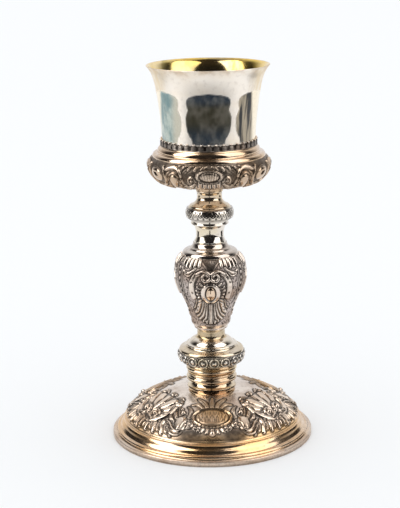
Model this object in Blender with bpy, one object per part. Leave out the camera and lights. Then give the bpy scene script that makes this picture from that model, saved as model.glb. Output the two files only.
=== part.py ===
"""A silver and silver-gilt chalice: eight turned and chased pieces stacked on one upright axis.

The pieces are surfaces of revolution. Their outlines are chains of arcs, and the chasing on the foot, the
calyx and the knops is a height laid over the turned surface, drawn with strokes, curls, ovals and fans.
The front of the object faces -Y and its underside rests on Z = 0.
"""

import math

import bpy
import numpy as np
from mathutils import Vector
from mathutils.geometry import delaunay_2d_cdt

MM = 0.001

# Clearance between pieces that touch
GAP = 0.3

# Foot
FOOT_RADIUS = 74.35
FOOT_RIM_WIDTH = 10.0
FOOT_RIM_HEIGHT = 14.3
FOOT_HEIGHT = 36.7
FOOT_TOP_RADIUS = 17.2
FOOT_PLAIN_RADIUS = 27.5
FOOT_WALL = 1.2
FOOT_LAND = 4.0
FOOT_RELIEF = 2.2

# Stack of rings above the foot
COLLAR_RADIUS = 18.2
COLLAR_HEIGHT = 15.0

# Flat knop with circles
LOWER_KNOP_RADIUS = 24.5
LOWER_KNOP_HEIGHT = 28.5
LOWER_KNOP_CIRCLES = 18
LOWER_KNOP_RELIEF = 0.6

# Pear-shaped knop
BALUSTER_RADIUS = 25.7
BALUSTER_HEIGHT = 64.9
BALUSTER_RELIEF = 1.0

# Waist, small knop and neck
UPPER_STEM_RADIUS = 17.6
UPPER_STEM_HEIGHT = 39.7
UPPER_KNOP_CROSSES = 24
UPPER_STEM_RELIEF = 0.4

# Cup, and what closes round it
CUP_RADIUS = 33.5
CUP_HEIGHT = 87.2
CUP_LIP_FLARE = 10.6
CUP_WALL = 1.0
CUP_SEAT_RADIUS = 10.0
CUP_BOWL_HEIGHT = 24.0
CALYX_BULGE = 10.1
CALYX_HEIGHT = 31.4
CALYX_SEAT_RADIUS = 9.8
CALYX_WALL = 1.2
CALYX_LIP = 1.3
CALYX_RELIEF = 1.4
CREST_HEIGHT = 4.8
CREST_WALL = 0.8
CREST_TEETH = 40
CREST_NOTCH = 0.4
CREST_BEAD = 0.6

# The chasing repeats in six mirrored panels round the axis
PANEL = 60.0

# Facets: columns round the axis of the foot, of the cup with its calyx, of the stem and of hidden surfaces
COLUMNS_FOOT = 36
COLUMNS_CUP = 30
COLUMNS_STEM = 20
COLUMNS_HIDDEN = 15

# Facets: degrees of arc for one step of an outline, and the length of a step under chased work
ARC_STEP = 58.0
CHASED_STEP = 1.0

# Facets of the chased work, in millimetres: least distance between corners on the foot and on the other
# pieces, and spread of the plain ground
FOOT_CORNERS_APART = 2.3
CORNERS_APART = 1.8
GROUND_APART = 10.0

# Facets that meet at more than this angle keep a sharp edge
SHARP_ANGLE = 28.0

# Bulge of an arc that turns by a right angle
QUARTER = math.tan(math.pi / 8.0)

# Finish of the pieces: colour, and roughness from polished to chased
SILVER = (0.66, 0.60, 0.56, 1.0)
PALE_SILVER = (0.76, 0.73, 0.68, 1.0)
GILT = (0.62, 0.42, 0.22, 1.0)
POLISHED = 0.2
CHASED = 0.3


def clear_scene():
    """Remove every object that the file starts with."""
    for thing in list(bpy.data.objects):
        bpy.data.objects.remove(thing, do_unlink=True)


def arc(start, end, bulge, steps):
    """Points after start up to end; a positive bulge swells to the right of the way from start to end."""
    start = np.array(start, float)
    end = np.array(end, float)
    shares = np.linspace(0.0, 1.0, steps + 1)[1:, None]
    if bulge == 0.0:
        return start + (end - start) * shares
    chord = np.linalg.norm(end - start)
    ahead = (end - start) / chord
    right = np.array([ahead[1], -ahead[0]]) * math.copysign(1.0, bulge)
    half = 2.0 * math.atan(abs(bulge))
    radius = chord / (2.0 * math.sin(half))
    turn = -half + 2.0 * half * shares
    rise = radius * (np.cos(turn) - math.cos(half))
    return (start + end) / 2.0 + radius * np.sin(turn) * ahead + rise * right


def steps_for(start, end, bulge, longest=None):
    """How many facets an arc takes, by its angle and, where it is chased, by its length."""
    angle = math.degrees(4.0 * math.atan(abs(bulge)))
    steps = max(1, round(angle / ARC_STEP))
    if longest is not None:
        steps = max(steps, round(math.dist(start, end) / longest))
    return steps


def trace(stations, longest=None):
    """The outline through stations of radius, height and bulge of the arc that reaches them."""
    points = [np.array([stations[0][:2]], float)]
    for before, (radius, height, bulge) in zip(stations, stations[1:]):
        start = before[:2]
        end = (radius, height)
        points.append(arc(start, end, bulge, steps_for(start, end, bulge, longest)))
    return np.concatenate(points)


def fitted(proportions, radius, height, base):
    """Stations in a piece's own proportions, fitted to its greatest radius, its height and its base."""
    widest = max(station[0] for station in proportions)
    top = proportions[-1][1]
    return [(r * radius / widest, base + z * height / top, bulge) for r, z, bulge in proportions]


def outward(points):
    """Unit normals of an outline, to the right of the way it runs."""
    along = np.gradient(points, axis=0)
    length = np.linalg.norm(along, axis=1)[:, None]
    return np.column_stack([along[:, 1], -along[:, 0]]) / length


def smooth_path(knots, pieces=5):
    """Points on a smooth curve through a few knots."""
    knots = np.array(knots, float)
    if len(knots) == 2:
        return knots
    padded = np.vstack([2 * knots[0] - knots[1], knots, 2 * knots[-1] - knots[-2]])
    shares = np.linspace(0.0, 1.0, pieces, endpoint=False)[:, None]
    curve = []
    for a, b, c, d in zip(padded, padded[1:], padded[2:], padded[3:]):
        bend = (2 * a - 5 * b + 4 * c - d) * shares ** 2
        twist = (3 * b - a - 3 * c + d) * shares ** 3
        curve.append(0.5 * (2 * b + (c - a) * shares + bend + twist))
    return np.vstack(curve + [knots[-1:]])


# Corners that end a form stand just outside its edge, at this share of its size
EDGE = 1.06

# Corners along a stroke for its width, and round an oval for its size
STROKE_STEP = 2.4
OVAL_CORNERS = 0.55

# An oval larger than this gets corners on its shoulder too, at this share of its size
LARGE_OVAL = 3.0
OVAL_SHOULDER = 0.7

# Height that a stroke keeps where it narrows, and that a fan keeps in its folds
NARROW_HEIGHT = 0.4
FOLD_HEIGHT = 0.35

# Share of a fan's reach where its petals stand highest, and where its folds end
PETAL_CREST = 0.6
FOLD_REACH = 0.86


class Chasing:
    """Height of the chased work over a turned surface: across in degrees, up in lengths along the outline.

    Places are an angle from the middle of the panel and a distance up the band. Sizes are in the same unit
    as the distance up, so the work grows and shrinks with its band. Each form also marks where facets need
    their corners: along its crest and just outside its edge.
    """

    def __init__(self, across, up, lengths, radii):
        self.across = across
        self.up = up
        self.lengths = lengths
        self.radii = radii
        self.radius = self.radius_at(up)
        self.height = np.zeros(across.shape)
        self.marks = []

    def radius_at(self, up):
        return np.interp(up, self.lengths, self.radii)

    def flat(self, angle, up):
        """Distances from a place, across and up."""
        return np.radians(self.across - angle) * self.radius, self.up - up

    def mark(self, angle, up, x, y):
        """Ask for a facet corner at distances from a place."""
        high = up + y
        self.marks.append((angle + math.degrees(x / self.radius_at(high)), high))

    def raise_to(self, height):
        self.height = np.maximum(self.height, height)

    def stroke(self, knots, width, height, ends=(1.0, 1.0)):
        """A rounded ridge along a smooth curve, narrowed at either end by the given shares."""
        path = smooth_path(knots)
        base = path[0, 0]
        px = np.radians(path[:, 0] - base) * self.radius_at(path[:, 1])
        py = path[:, 1]
        run = np.concatenate([[0.0], np.cumsum(np.hypot(np.diff(px), np.diff(py)))])
        ahead_x = np.gradient(px, run)
        ahead_y = np.gradient(py, run)
        halves = (0.0, 0.5, 1.0)
        widths = (ends[0], 1.0, ends[1])
        steps = max(2, round(run[-1] / (STROKE_STEP * width)))
        for place in np.linspace(0.0, run[-1], steps + 1):
            x = np.interp(place, run, px)
            y = np.interp(place, run, py)
            reach = EDGE * width * np.interp(place / run[-1], halves, widths)
            side_x = -reach * np.interp(place, run, ahead_y)
            side_y = reach * np.interp(place, run, ahead_x)
            for side in (0.0, 1.0, -1.0):
                self.mark(base, 0.0, x + side * side_x, y + side * side_y)
        x, y = self.flat(base, 0.0)
        nearest = np.full(x.shape, np.inf)
        along = np.zeros(x.shape)
        pieces = len(px) - 1
        for i in range(pieces):
            dx = px[i + 1] - px[i]
            dy = py[i + 1] - py[i]
            share = ((x - px[i]) * dx + (y - py[i]) * dy) / (dx * dx + dy * dy)
            share = np.clip(share, 0.0, 1.0)
            apart = np.hypot(x - px[i] - share * dx, y - py[i] - share * dy)
            closer = apart < nearest
            nearest[closer] = apart[closer]
            along[closer] = (i + share[closer]) / pieces
        taper = np.interp(along, halves, widths)
        round_top = np.sqrt(np.clip(1.0 - (nearest / (width * taper)) ** 2, 0.0, 1.0))
        self.raise_to(height * (NARROW_HEIGHT + (1.0 - NARROW_HEIGHT) * taper) * round_top)

    def mark_oval(self, angle, up, wide, tall, share):
        """Ask for corners round an oval that is the given share of a size."""
        count = 2 * max(3, round(OVAL_CORNERS * (wide + tall) * share))
        for number in range(count):
            turn = (number + 0.5) * 2.0 * math.pi / count
            self.mark(angle, up, share * wide * math.cos(turn), share * tall * math.sin(turn))

    def oval(self, angle, up, wide, tall, height):
        """A domed oval with the given half sizes."""
        self.mark(angle, up, 0.0, 0.0)
        self.mark_oval(angle, up, wide, tall, EDGE)
        if min(wide, tall) > LARGE_OVAL:
            self.mark_oval(angle, up, wide, tall, OVAL_SHOULDER)
        x, y = self.flat(angle, up)
        out = (x / wide) ** 2 + (y / tall) ** 2
        self.raise_to(height * np.sqrt(np.clip(1.0 - out, 0.0, 1.0)))

    def rim(self, angle, up, wide, tall, band, height):
        """A rounded ridge along an oval, with the given half width."""
        spare = EDGE * band / min(wide, tall)
        for share in (1.0, 1.0 + spare, 1.0 - spare):
            self.mark_oval(angle, up, wide, tall, share)
        x, y = self.flat(angle, up)
        out = np.sqrt((x / wide) ** 2 + (y / tall) ** 2)
        apart = (out - 1.0) * min(wide, tall) / band
        self.raise_to(height * np.sqrt(np.clip(1.0 - apart ** 2, 0.0, 1.0)))

    def fan(self, angle, up, near, far, facing, spread, petals, height, wide=1.0):
        """Rounded petals that spread from a place, the fan facing and spreading by angles in degrees."""
        for number in range(2 * petals + 1):
            turn = math.radians(facing + spread * (number / petals - 1.0))
            crest = number % 2
            tip = near + (far - near) * (FOLD_REACH + (1.0 - FOLD_REACH) * crest)
            for out in (near, near + PETAL_CREST * (tip - near), EDGE * tip):
                self.mark(angle, up, wide * out * math.cos(turn), out * math.sin(turn))
        x, y = self.flat(angle, up)
        x = x / wide
        out = np.hypot(x, y)
        turned = np.degrees(np.arctan2(y, x)) - facing
        turned = (turned + 180.0) % 360.0 - 180.0
        place = (turned / spread + 1.0) * petals / 2.0
        across = np.abs(np.sin(np.pi * place))
        tip = near + (far - near) * (FOLD_REACH + (1.0 - FOLD_REACH) * across)
        share = (out - near) / (tip - near)
        inside = (np.abs(turned) < spread) & (share > 0.0) & (share < 1.0)
        swell = np.sqrt(np.clip(1.0 - (share / PETAL_CREST - 1.0) ** 2, 0.0, 1.0))
        fold = FOLD_HEIGHT + (1.0 - FOLD_HEIGHT) * np.sqrt(across)
        self.raise_to(np.where(inside, height * swell * fold, 0.0))


# Length up the band that the places and sizes of each band's work are drawn for
FOOT_BAND = 43.7
CALYX_BAND = 26.4
BALUSTER_BAND = 55.0
KNOP_BAND = 8.6


def chase_foot(work):
    """Medallions with shells below them, between them pairs of scrolls with a shell and hanging leaves."""
    # Medallion, its shell ribs, its bead and the palmette above it
    work.rim(0.0, 22.5, 12.4, 9.0, 1.8, 0.6)
    work.oval(0.0, 22.5, 10.0, 6.8, 0.3)
    work.fan(0.0, 22.5, 11.2, 16.2, -90.0, 60.0, 7, 0.6, wide=1.15)
    work.oval(0.0, 6.6, 2.5, 2.5, 0.9)
    work.fan(0.0, 31.8, 0.8, 8.5, 90.0, 75.0, 3, 0.5)
    work.stroke([(7.0, 34.0), (14.0, 37.0), (21.0, 35.5), (24.0, 31.0)], 1.8, 0.5, (0.6, 0.6))
    # Scroll beside the medallion
    work.oval(20.0, 15.5, 3.4, 3.4, 0.65)
    work.stroke([(20.5, 20.0), (20.0, 25.0), (24.0, 29.5)], 1.8, 0.55, (0.8, 0.5))
    work.oval(28.5, 23.5, 2.1, 2.1, 0.7)
    # Pair of scrolls that ends in curls, with a bead in each
    work.stroke([(37.5, 34.0), (38.5, 25.0), (41.5, 17.0), (46.5, 11.5)], 2.5, 0.85, (0.4, 1.0))
    work.rim(52.3, 15.4, 4.6, 4.6, 1.9, 0.95)
    work.oval(52.3, 15.4, 2.1, 2.1, 1.0)
    # Shell between the scrolls, with a bead at its top
    work.fan(60.0, 17.0, 5.0, 21.5, 90.0, 52.0, 6, 0.8)
    work.oval(60.0, 38.0, 2.2, 2.2, 0.7)
    # Leaves beside the scroll and the ribbon below them
    work.fan(36.0, 13.5, 1.5, 9.5, 118.0, 45.0, 2, 0.5)
    work.stroke([(22.0, 12.0), (27.0, 7.6), (32.0, 9.0)], 1.5, 0.5, (0.5, 0.9))
    # Hanging leaves, and the longer one in the middle
    for number in range(5):
        root = 35.0 + 5.0 * number
        lean = 3.5 - 0.8 * number
        work.stroke([(root, 9.6), (root - 0.4 * lean, 6.0), (root - lean, 2.4)], 2.1, 0.65, (0.6, 0.6))
    work.stroke([(60.0, 9.0), (60.0, 0.8)], 2.4, 0.85, (0.7, 0.3))


def chase_calyx(work):
    """Medallions and smooth ovals in turn, with scrolls, lobes and leaves between them."""
    work.rim(0.0, 18.2, 8.8, 5.0, 1.5, 0.75)
    work.oval(0.0, 18.2, 6.6, 3.0, 0.35)
    work.fan(0.0, 17.0, 7.2, 14.0, -90.0, 50.0, 5, 0.6, wide=1.2)
    work.oval(20.5, 19.0, 3.7, 3.7, 0.8)
    work.stroke([(16.5, 12.0), (20.0, 8.0), (26.0, 6.5), (31.0, 7.5)], 1.6, 0.6, (0.8, 0.5))
    work.oval(34.5, 21.0, 4.3, 3.4, 0.9)
    work.oval(33.5, 12.4, 3.2, 4.2, 0.7)
    work.stroke([(42.0, 24.0), (41.5, 17.0), (45.0, 10.0), (52.0, 6.5), (60.0, 6.0)], 1.8, 0.8, (0.5, 0.9))
    work.oval(60.0, 17.5, 7.0, 5.4, 1.2)


def chase_baluster(work):
    """Cartouches with an oval boss, a frame of flutes and a palmette below, tongues at the shoulder."""
    # Oval boss in its ring
    work.rim(0.0, 28.6, 5.6, 7.0, 1.7, 0.75)
    work.oval(0.0, 28.6, 3.4, 4.8, 0.9)
    # Frame that curls inwards over the boss
    frame = [(13.0, 44.6), (24.0, 43.0), (31.5, 38.0), (33.3, 32.0), (31.5, 26.0)]
    work.stroke(frame, 2.0, 0.9, (0.8, 0.9))
    work.oval(8.5, 41.0, 2.9, 2.9, 0.9)
    # Flutes between the frame and the boss
    work.fan(0.0, 28.6, 9.4, 14.0, 47.0, 40.0, 4, 0.4)
    # Scrolls and palmette below
    work.stroke([(23.0, 24.0), (23.0, 20.0), (27.5, 16.0), (34.0, 13.2), (41.0, 12.2)], 1.7, 0.7, (0.8, 0.6))
    work.stroke([(0.0, 18.5), (0.0, 3.0)], 1.5, 0.75, (0.7, 1.0))
    work.stroke([(6.0, 17.0), (9.0, 10.0), (19.0, 5.0)], 1.3, 0.65, (0.8, 1.0))
    work.stroke([(14.0, 17.5), (18.0, 12.0), (32.0, 8.0)], 1.3, 0.65, (0.8, 1.0))
    # Tongues of the shoulder and the swag below them
    for number in range(4):
        middle = 19.0 + 9.0 * number
        work.stroke([(middle, 53.6), (middle, 49.4)], 1.8, 0.6)
    work.stroke([(24.0, 47.4), (36.0, 44.9), (50.0, 47.4)], 1.5, 0.6, (0.5, 0.5))
    # Pendant between the cartouches
    work.stroke([(52.5, 46.5), (54.0, 32.0), (60.0, 19.0)], 1.2, 0.5, (1.0, 0.8))
    for number in range(3):
        size = 2.2 - 0.3 * number
        work.oval(60.0, 43.0 - 7.0 * number, size, 1.4 * size, 0.7)


def chase_circles(work):
    """One round boss; the band repeats it."""
    work.oval(0.0, 4.3, 3.0, 2.9, 1.0)


def chase_crosses(work):
    """One slanting cross; the band repeats it."""
    work.stroke([(-5.5, 1.6), (5.5, 7.0)], 0.9, 1.0)
    work.stroke([(-5.5, 7.0), (5.5, 1.6)], 0.9, 1.0)


class Skin:
    """The closed surface of one piece, grown ring by ring with the solid on its left."""

    def __init__(self):
        self.corners = []
        self.faces = []
        self.first = None
        self.last = None

    def corner(self, angle, radius, height):
        """Add a corner at an angle from the front, in degrees, and return its number."""
        turn = math.radians(angle)
        self.corners.append((radius * math.sin(turn), -radius * math.cos(turn), height))
        return len(self.corners) - 1

    def join(self, numbers):
        """Join the last ring of corners to a new one."""
        if self.last is None:
            self.first = numbers
        else:
            stitch(self.faces, self.last, numbers)
        self.last = numbers

    def turned(self, outline, columns):
        """Plain rings along an outline, with a single corner where it meets the axis."""
        for radius, height in outline:
            count = columns if radius > 0.0 else 1
            self.join([self.corner(360.0 * i / count, radius, height) for i in range(count)])

    def chased(self, draw, outline, band, half, columns, depth, apart=CORNERS_APART):
        """A band of chased work along an outline, in mirrored panels of half a pattern each."""
        panels = round(360.0 / half)
        places, lifts, faces, borders = panel(draw, outline, band, half, columns // panels, depth, apart)
        normals = outward(outline)
        run = lengths_along(outline)
        up = places[:, 1]
        radii = np.interp(up, run, outline[:, 0]) + lifts * np.interp(up, run, normals[:, 0])
        heights = np.interp(up, run, outline[:, 1]) + lifts * np.interp(up, run, normals[:, 1])
        shared = {}
        rows = ([], [])
        for number in range(panels):
            mirrored = number % 2 == 1
            numbers = []
            for i, (angle, _) in enumerate(places):
                turn = (half - angle if mirrored else angle) + number * half
                side = round(turn / half) % panels if i in borders else None
                if side is not None and (i, side) in shared:
                    numbers.append(shared[i, side])
                    continue
                corner = self.corner(turn, radii[i], heights[i])
                numbers.append(corner)
                if side is not None:
                    shared[i, side] = corner
                if up[i] == up.min():
                    rows[0].append((turn, corner))
                if up[i] == up.max():
                    rows[1].append((turn, corner))
            for face in faces:
                order = reversed(face) if mirrored else face
                self.faces.append(tuple(numbers[i] for i in order))
        self.join([corner for _, corner in sorted(rows[0])])
        self.last = [corner for _, corner in sorted(rows[1])]


def lengths_along(outline):
    """Distance along an outline of each of its points."""
    return np.concatenate([[0.0], np.cumsum(np.linalg.norm(np.diff(outline, axis=0), axis=1))])


def panel(draw, outline, band, half, columns, depth, apart):
    """Corners, heights and faces of half a pattern, with corners only where the chased work needs them."""
    run = lengths_along(outline)
    unit = run[-1] / band
    lengths = run / unit
    radii = outline[:, 0] / unit
    plan = Chasing(np.empty(0), np.empty(0), lengths, radii)
    draw(plan)
    least = apart / unit
    ground = GROUND_APART / unit
    ground_least = 0.75 * ground
    # Heights up the band, spaced so that near the surface every way counts alike
    middle = (radii[1:] + radii[:-1]) / 2.0
    evened = np.concatenate([[0.0], np.cumsum(np.diff(lengths) / middle)])
    edge = [(half * i / columns, up) for up in (0.0, band) for i in range(columns + 1)]
    kept = list(edge)

    def flat(places):
        places = np.array(places)
        return np.column_stack([np.radians(places[:, 0]), np.interp(places[:, 1], lengths, evened)])

    def add(angle, up, apart):
        """Keep a corner that lies in the panel, far enough from the others; near a side it moves onto it."""
        radius = np.interp(up, lengths, radii)
        margin = math.degrees(0.6 * apart / radius)
        angle = 0.0 if abs(angle) < margin else angle
        angle = half if abs(angle - half) < margin else angle
        if angle < 0.0 or angle > half or up < 0.5 * apart or up > band - 0.5 * apart:
            return
        spread = np.linalg.norm(flat(kept) - flat([(angle, up)]), axis=1)
        if spread.min() * radius >= apart:
            kept.append((angle, up))

    for angle, up in plan.marks:
        add(angle, up, least)
    for up in np.linspace(0.0, band, max(2, round(band / ground)) + 1)[1:-1]:
        count = max(1, round(math.radians(half) * np.interp(up, lengths, radii) / ground))
        for i in range(count + 1):
            add(half * i / count, up, ground_least)
    places = np.array(kept)
    spots = flat(places)
    faces = delaunay_2d_cdt([Vector(spot) for spot in spots], [], [], 0, 1e-7)[2]
    upright = []
    for a, b, c in faces:
        turn = np.cross(spots[b] - spots[a], spots[c] - spots[a])
        upright.append((a, b, c) if turn > 0.0 else (a, c, b))
    work = Chasing(places[:, 0], places[:, 1], lengths, radii)
    draw(work)
    lifts = work.height * depth
    lifts[:len(edge)] = 0.0
    borders = {i for i, place in enumerate(kept) if place[0] in (0.0, half)}
    places[:, 1] *= unit
    return places, lifts, upright, borders


def stitch(faces, low, high):
    """Faces between two rings of corner numbers, which may differ in count."""
    n = len(low)
    m = len(high)
    if n == m:
        for i in range(n):
            j = (i + 1) % n
            faces.append((low[i], low[j], high[j], high[i]))
        return
    i = 0
    j = 0
    while i < (n if n > 1 else 0) or j < (m if m > 1 else 0):
        low_first = m == 1 or (n > 1 and i < n and (j >= m or (i + 1) * m <= (j + 1) * n))
        if low_first:
            faces.append((low[i], low[(i + 1) % n], high[j % m]))
            i += 1
        else:
            faces.append((low[i % n], high[(j + 1) % m], high[j % m]))
            j += 1


def finished(skin, name, colour, roughness, closed=False):
    """The object that a skin makes; closed joins its last ring to its first."""
    if closed:
        skin.join(skin.first)
    mesh = bpy.data.meshes.new(name)
    mesh.from_pydata((np.array(skin.corners) * MM).tolist(), [], skin.faces)
    mesh.shade_smooth()
    mesh.set_sharp_from_angle(angle=math.radians(SHARP_ANGLE))
    thing = bpy.data.objects.new(name, mesh)
    bpy.context.scene.collection.objects.link(thing)
    material = bpy.data.materials.new(name)
    material.use_nodes = True
    shader = material.node_tree.nodes["Principled BSDF"]
    shader.inputs["Base Color"].default_value = colour
    shader.inputs["Metallic"].default_value = 1.0
    shader.inputs["Roughness"].default_value = roughness
    mesh.materials.append(material)
    return thing


def foot():
    """Hollow dome on a moulded rim that rests on a flat ring."""
    edge = FOOT_RADIUS - FOOT_RIM_WIDTH
    rim = [
        (10.0, 0.0, 0.0),
        (10.0, 2.8, 0.0),
        (9.2, 3.5, 0.5),
        (6.8, 4.2, 0.0),
        (5.0, 6.4, 0.7),
        (3.3, 8.9, -0.1),
        (2.9, 9.4, 0.0),
        (0.9, 12.7, -0.25),
        (1.0, 13.7, 0.9),
        (0.0, 14.3, 0.0),
    ]
    scale = FOOT_RIM_WIDTH / rim[0][0]
    rise = FOOT_RIM_HEIGHT / rim[-1][1]
    moulding = trace([(edge + r * scale, z * rise, bulge) for r, z, bulge in rim])
    span = edge - FOOT_TOP_RADIUS
    climb = FOOT_HEIGHT - FOOT_RIM_HEIGHT
    shoulder = (edge - 0.14 * span, FOOT_RIM_HEIGHT + 0.31 * climb)
    leaving = (FOOT_PLAIN_RADIUS, FOOT_HEIGHT - 0.075 * climb)
    dome = trace([
        (edge, FOOT_RIM_HEIGHT, 0.0),
        (edge - 0.006 * span, FOOT_RIM_HEIGHT + 0.075 * climb, 0.0),
        (*shoulder, 0.17),
        (*leaving, 0.062),
    ], CHASED_STEP)
    top = trace([
        (*leaving, 0.0),
        (FOOT_TOP_RADIUS, FOOT_HEIGHT, 0.04),
        (0.0, FOOT_HEIGHT, 0.0),
    ])
    wall = FOOT_WALL
    sloping = 1.2 * wall
    inside = trace([
        (0.0, FOOT_HEIGHT - wall, 0.0),
        (FOOT_TOP_RADIUS - wall, FOOT_HEIGHT - wall, 0.0),
        (leaving[0] - wall, leaving[1] - sloping, -0.04),
        (shoulder[0] - wall, shoulder[1] - sloping, -0.062),
        (edge - sloping, FOOT_RIM_HEIGHT, -0.17),
        (FOOT_RADIUS - FOOT_LAND, 0.12 * FOOT_RIM_HEIGHT, 0.0),
        (FOOT_RADIUS - FOOT_LAND, 0.0, 0.0),
    ])
    skin = Skin()
    skin.turned(moulding[:-1], COLUMNS_FOOT)
    skin.chased(chase_foot, dome, FOOT_BAND, PANEL, COLUMNS_FOOT, FOOT_RELIEF, FOOT_CORNERS_APART)
    skin.turned(top[1:], COLUMNS_STEM)
    skin.turned(inside[:-2], COLUMNS_HIDDEN)
    skin.turned(inside[-2:], COLUMNS_FOOT)
    return finished(skin, "foot", SILVER, CHASED, closed=True)


def ring_collar(base):
    """Three turned rings with grooves between them, on a flared base."""
    proportions = [
        (0.0, 0.0, 0.0),
        (18.2, 0.0, 0.0),
        (15.0, 3.4, -0.3),
        (15.0, 4.2, 0.0),
        (17.9, 4.8, 0.0),
        (18.2, 7.8, 0.5),
        (16.4, 8.4, 0.0),
        (17.6, 9.0, 0.0),
        (17.6, 10.2, 0.7),
        (15.6, 10.7, 0.0),
        (15.6, 11.4, -0.2),
        (18.2, 11.9, 0.0),
        (18.2, 14.6, 0.5),
        (17.6, 15.0, 0.0),
        (0.0, 15.0, 0.0),
    ]
    skin = Skin()
    skin.turned(trace(fitted(proportions, COLLAR_RADIUS, COLLAR_HEIGHT, base)), COLUMNS_STEM)
    return finished(skin, "ring_collar", GILT, POLISHED)


def stem_piece(stations, first, count, draw, band, half, depth):
    """Skin of a stem piece whose stations from the first one on, to the given count, carry chased work."""
    last = first + count
    panels = round(360.0 / half)
    columns = panels * max(1, round(COLUMNS_STEM / panels))
    skin = Skin()
    skin.turned(trace(stations[:first])[:-1], COLUMNS_STEM)
    skin.chased(draw, trace(stations[first:last], CHASED_STEP), band, half, columns, depth)
    skin.turned(trace(stations[last:])[1:], COLUMNS_STEM)
    return skin


def lower_knop(base):
    """Flat knop: a swelling band of circles, a sloping step, a cone and a collar."""
    below = [
        (0.0, 0.0, 0.0),
        (18.4, 0.0, 0.0),
        (22.0, 3.1, -0.1),
    ]
    band = [
        (22.0, 3.1, 0.0),
        (24.5, 8.3, 0.14),
        (24.0, 11.4, 0.1),
    ]
    above = [
        (24.0, 11.4, 0.0),
        (23.2, 12.7, 0.15),
        (22.4, 13.2, 0.0),
        (18.0, 16.9, -0.08),
        (17.2, 17.5, 0.0),
        (12.4, 21.3, 0.15),
        (10.8, 22.6, 0.0),
        (10.1, 25.6, -0.25),
        (11.0, 28.5, -0.2),
        (0.0, 28.5, 0.0),
    ]
    stations = fitted(below + band + above, LOWER_KNOP_RADIUS, LOWER_KNOP_HEIGHT, base)
    pattern = 180.0 / LOWER_KNOP_CIRCLES
    skin = stem_piece(stations, len(below), len(band), chase_circles, KNOP_BAND, pattern, LOWER_KNOP_RELIEF)
    return finished(skin, "lower_knop", SILVER, CHASED)


def baluster_knop(base):
    """Pear-shaped knop with cartouches, on a plain base and under a plain shoulder ring."""
    below = [
        (0.0, 0.0, 0.0),
        (10.8, 0.0, 0.0),
        (14.4, 4.9, 0.15),
    ]
    band = [
        (14.4, 4.9, 0.0),
        (20.5, 24.9, -0.123),
        (25.7, 39.4, 0.115),
        (25.3, 47.9, 0.02),
        (20.4, 56.2, 0.2),
    ]
    above = [
        (20.4, 56.2, 0.0),
        (20.3, 57.4, 0.6),
        (19.0, 57.8, 0.0),
        (16.9, 59.3, 0.5),
        (15.4, 59.7, 0.0),
        (14.0, 61.6, 0.2),
        (12.2, 64.9, -0.15),
        (0.0, 64.9, 0.0),
    ]
    stations = fitted(below + band + above, BALUSTER_RADIUS, BALUSTER_HEIGHT, base)
    skin = stem_piece(stations, len(below), len(band), chase_baluster, BALUSTER_BAND, PANEL, BALUSTER_RELIEF)
    return finished(skin, "baluster_knop", SILVER, CHASED)


def upper_stem(base):
    """Waist, small knop with crosses and neck."""
    below = [
        (0.0, 0.0, 0.0),
        (12.0, 0.0, 0.0),
        (10.2, 6.7, -0.2),
        (12.2, 12.8, -0.15),
        (13.4, 13.2, 0.0),
        (13.4, 14.8, 0.6),
        (13.0, 15.4, 0.0),
        (16.8, 18.2, -0.05),
    ]
    band = [
        (16.8, 18.2, 0.0),
        (17.6, 21.4, 0.12),
        (16.6, 25.4, 0.15),
    ]
    above = [
        (16.6, 25.4, 0.0),
        (14.8, 26.0, 0.0),
        (13.6, 27.2, 0.3),
        (12.4, 28.4, 0.2),
        (10.6, 29.9, 0.2),
        (9.1, 31.6, -0.2),
        (9.1, 36.8, 0.0),
        (9.3, 38.3, 0.7),
        (9.6, 39.7, 0.0),
        (0.0, 39.7, 0.0),
    ]
    stations = fitted(below + band + above, UPPER_STEM_RADIUS, UPPER_STEM_HEIGHT, base)
    pattern = 180.0 / UPPER_KNOP_CROSSES
    skin = stem_piece(stations, len(below), len(band), chase_crosses, KNOP_BAND, pattern, UPPER_STEM_RELIEF)
    return finished(skin, "upper_stem", SILVER, POLISHED)


def calyx(base):
    """Bulging shell, open above, that holds the lower part of the cup."""
    widest = CUP_RADIUS + CALYX_BULGE
    mouth = CUP_RADIUS + GAP
    lip = mouth + CALYX_LIP
    top = base + CALYX_HEIGHT
    tall = CALYX_HEIGHT
    under = trace([
        (0.0, base, 0.0),
        (CALYX_SEAT_RADIUS, base, 0.0),
        (0.71 * widest, base + 0.13 * tall, 0.05),
    ])
    bulge = trace([
        (0.71 * widest, base + 0.13 * tall, 0.0),
        (widest, base + 0.55 * tall, 0.3),
        (0.93 * widest, base + 0.74 * tall, 0.24),
    ], CHASED_STEP)
    rings_above = trace([
        (0.93 * widest, base + 0.74 * tall, 0.0),
        (0.935 * widest, base + 0.755 * tall, 0.0),
        (0.3 * widest + 0.7 * lip, base + 0.85 * tall, 0.5),
        (0.2 * widest + 0.8 * lip, base + 0.86 * tall, 0.0),
        (lip, base + 0.985 * tall, 0.35),
        (lip, top, 0.0),
    ])
    wall = CALYX_WALL
    inside = trace([
        (mouth, top, 0.0),
        (mouth, top - 0.1 * tall, 0.0),
        (0.92 * widest - wall, base + 0.7 * tall, -0.2),
        (widest - wall, base + 0.55 * tall, -0.2),
        (0.71 * widest - wall, base + 0.15 * tall + wall, -0.24),
        (CALYX_SEAT_RADIUS, base + wall, -0.05),
        (0.0, base + wall, 0.0),
    ])
    skin = Skin()
    skin.turned(under[:-1], COLUMNS_STEM)
    skin.chased(chase_calyx, bulge, CALYX_BAND, PANEL, COLUMNS_CUP, CALYX_RELIEF)
    skin.turned(rings_above[1:], COLUMNS_CUP)
    skin.turned(inside[:2], COLUMNS_CUP)
    skin.turned(inside[2:], COLUMNS_HIDDEN)
    return finished(skin, "calyx", SILVER, CHASED)


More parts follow.
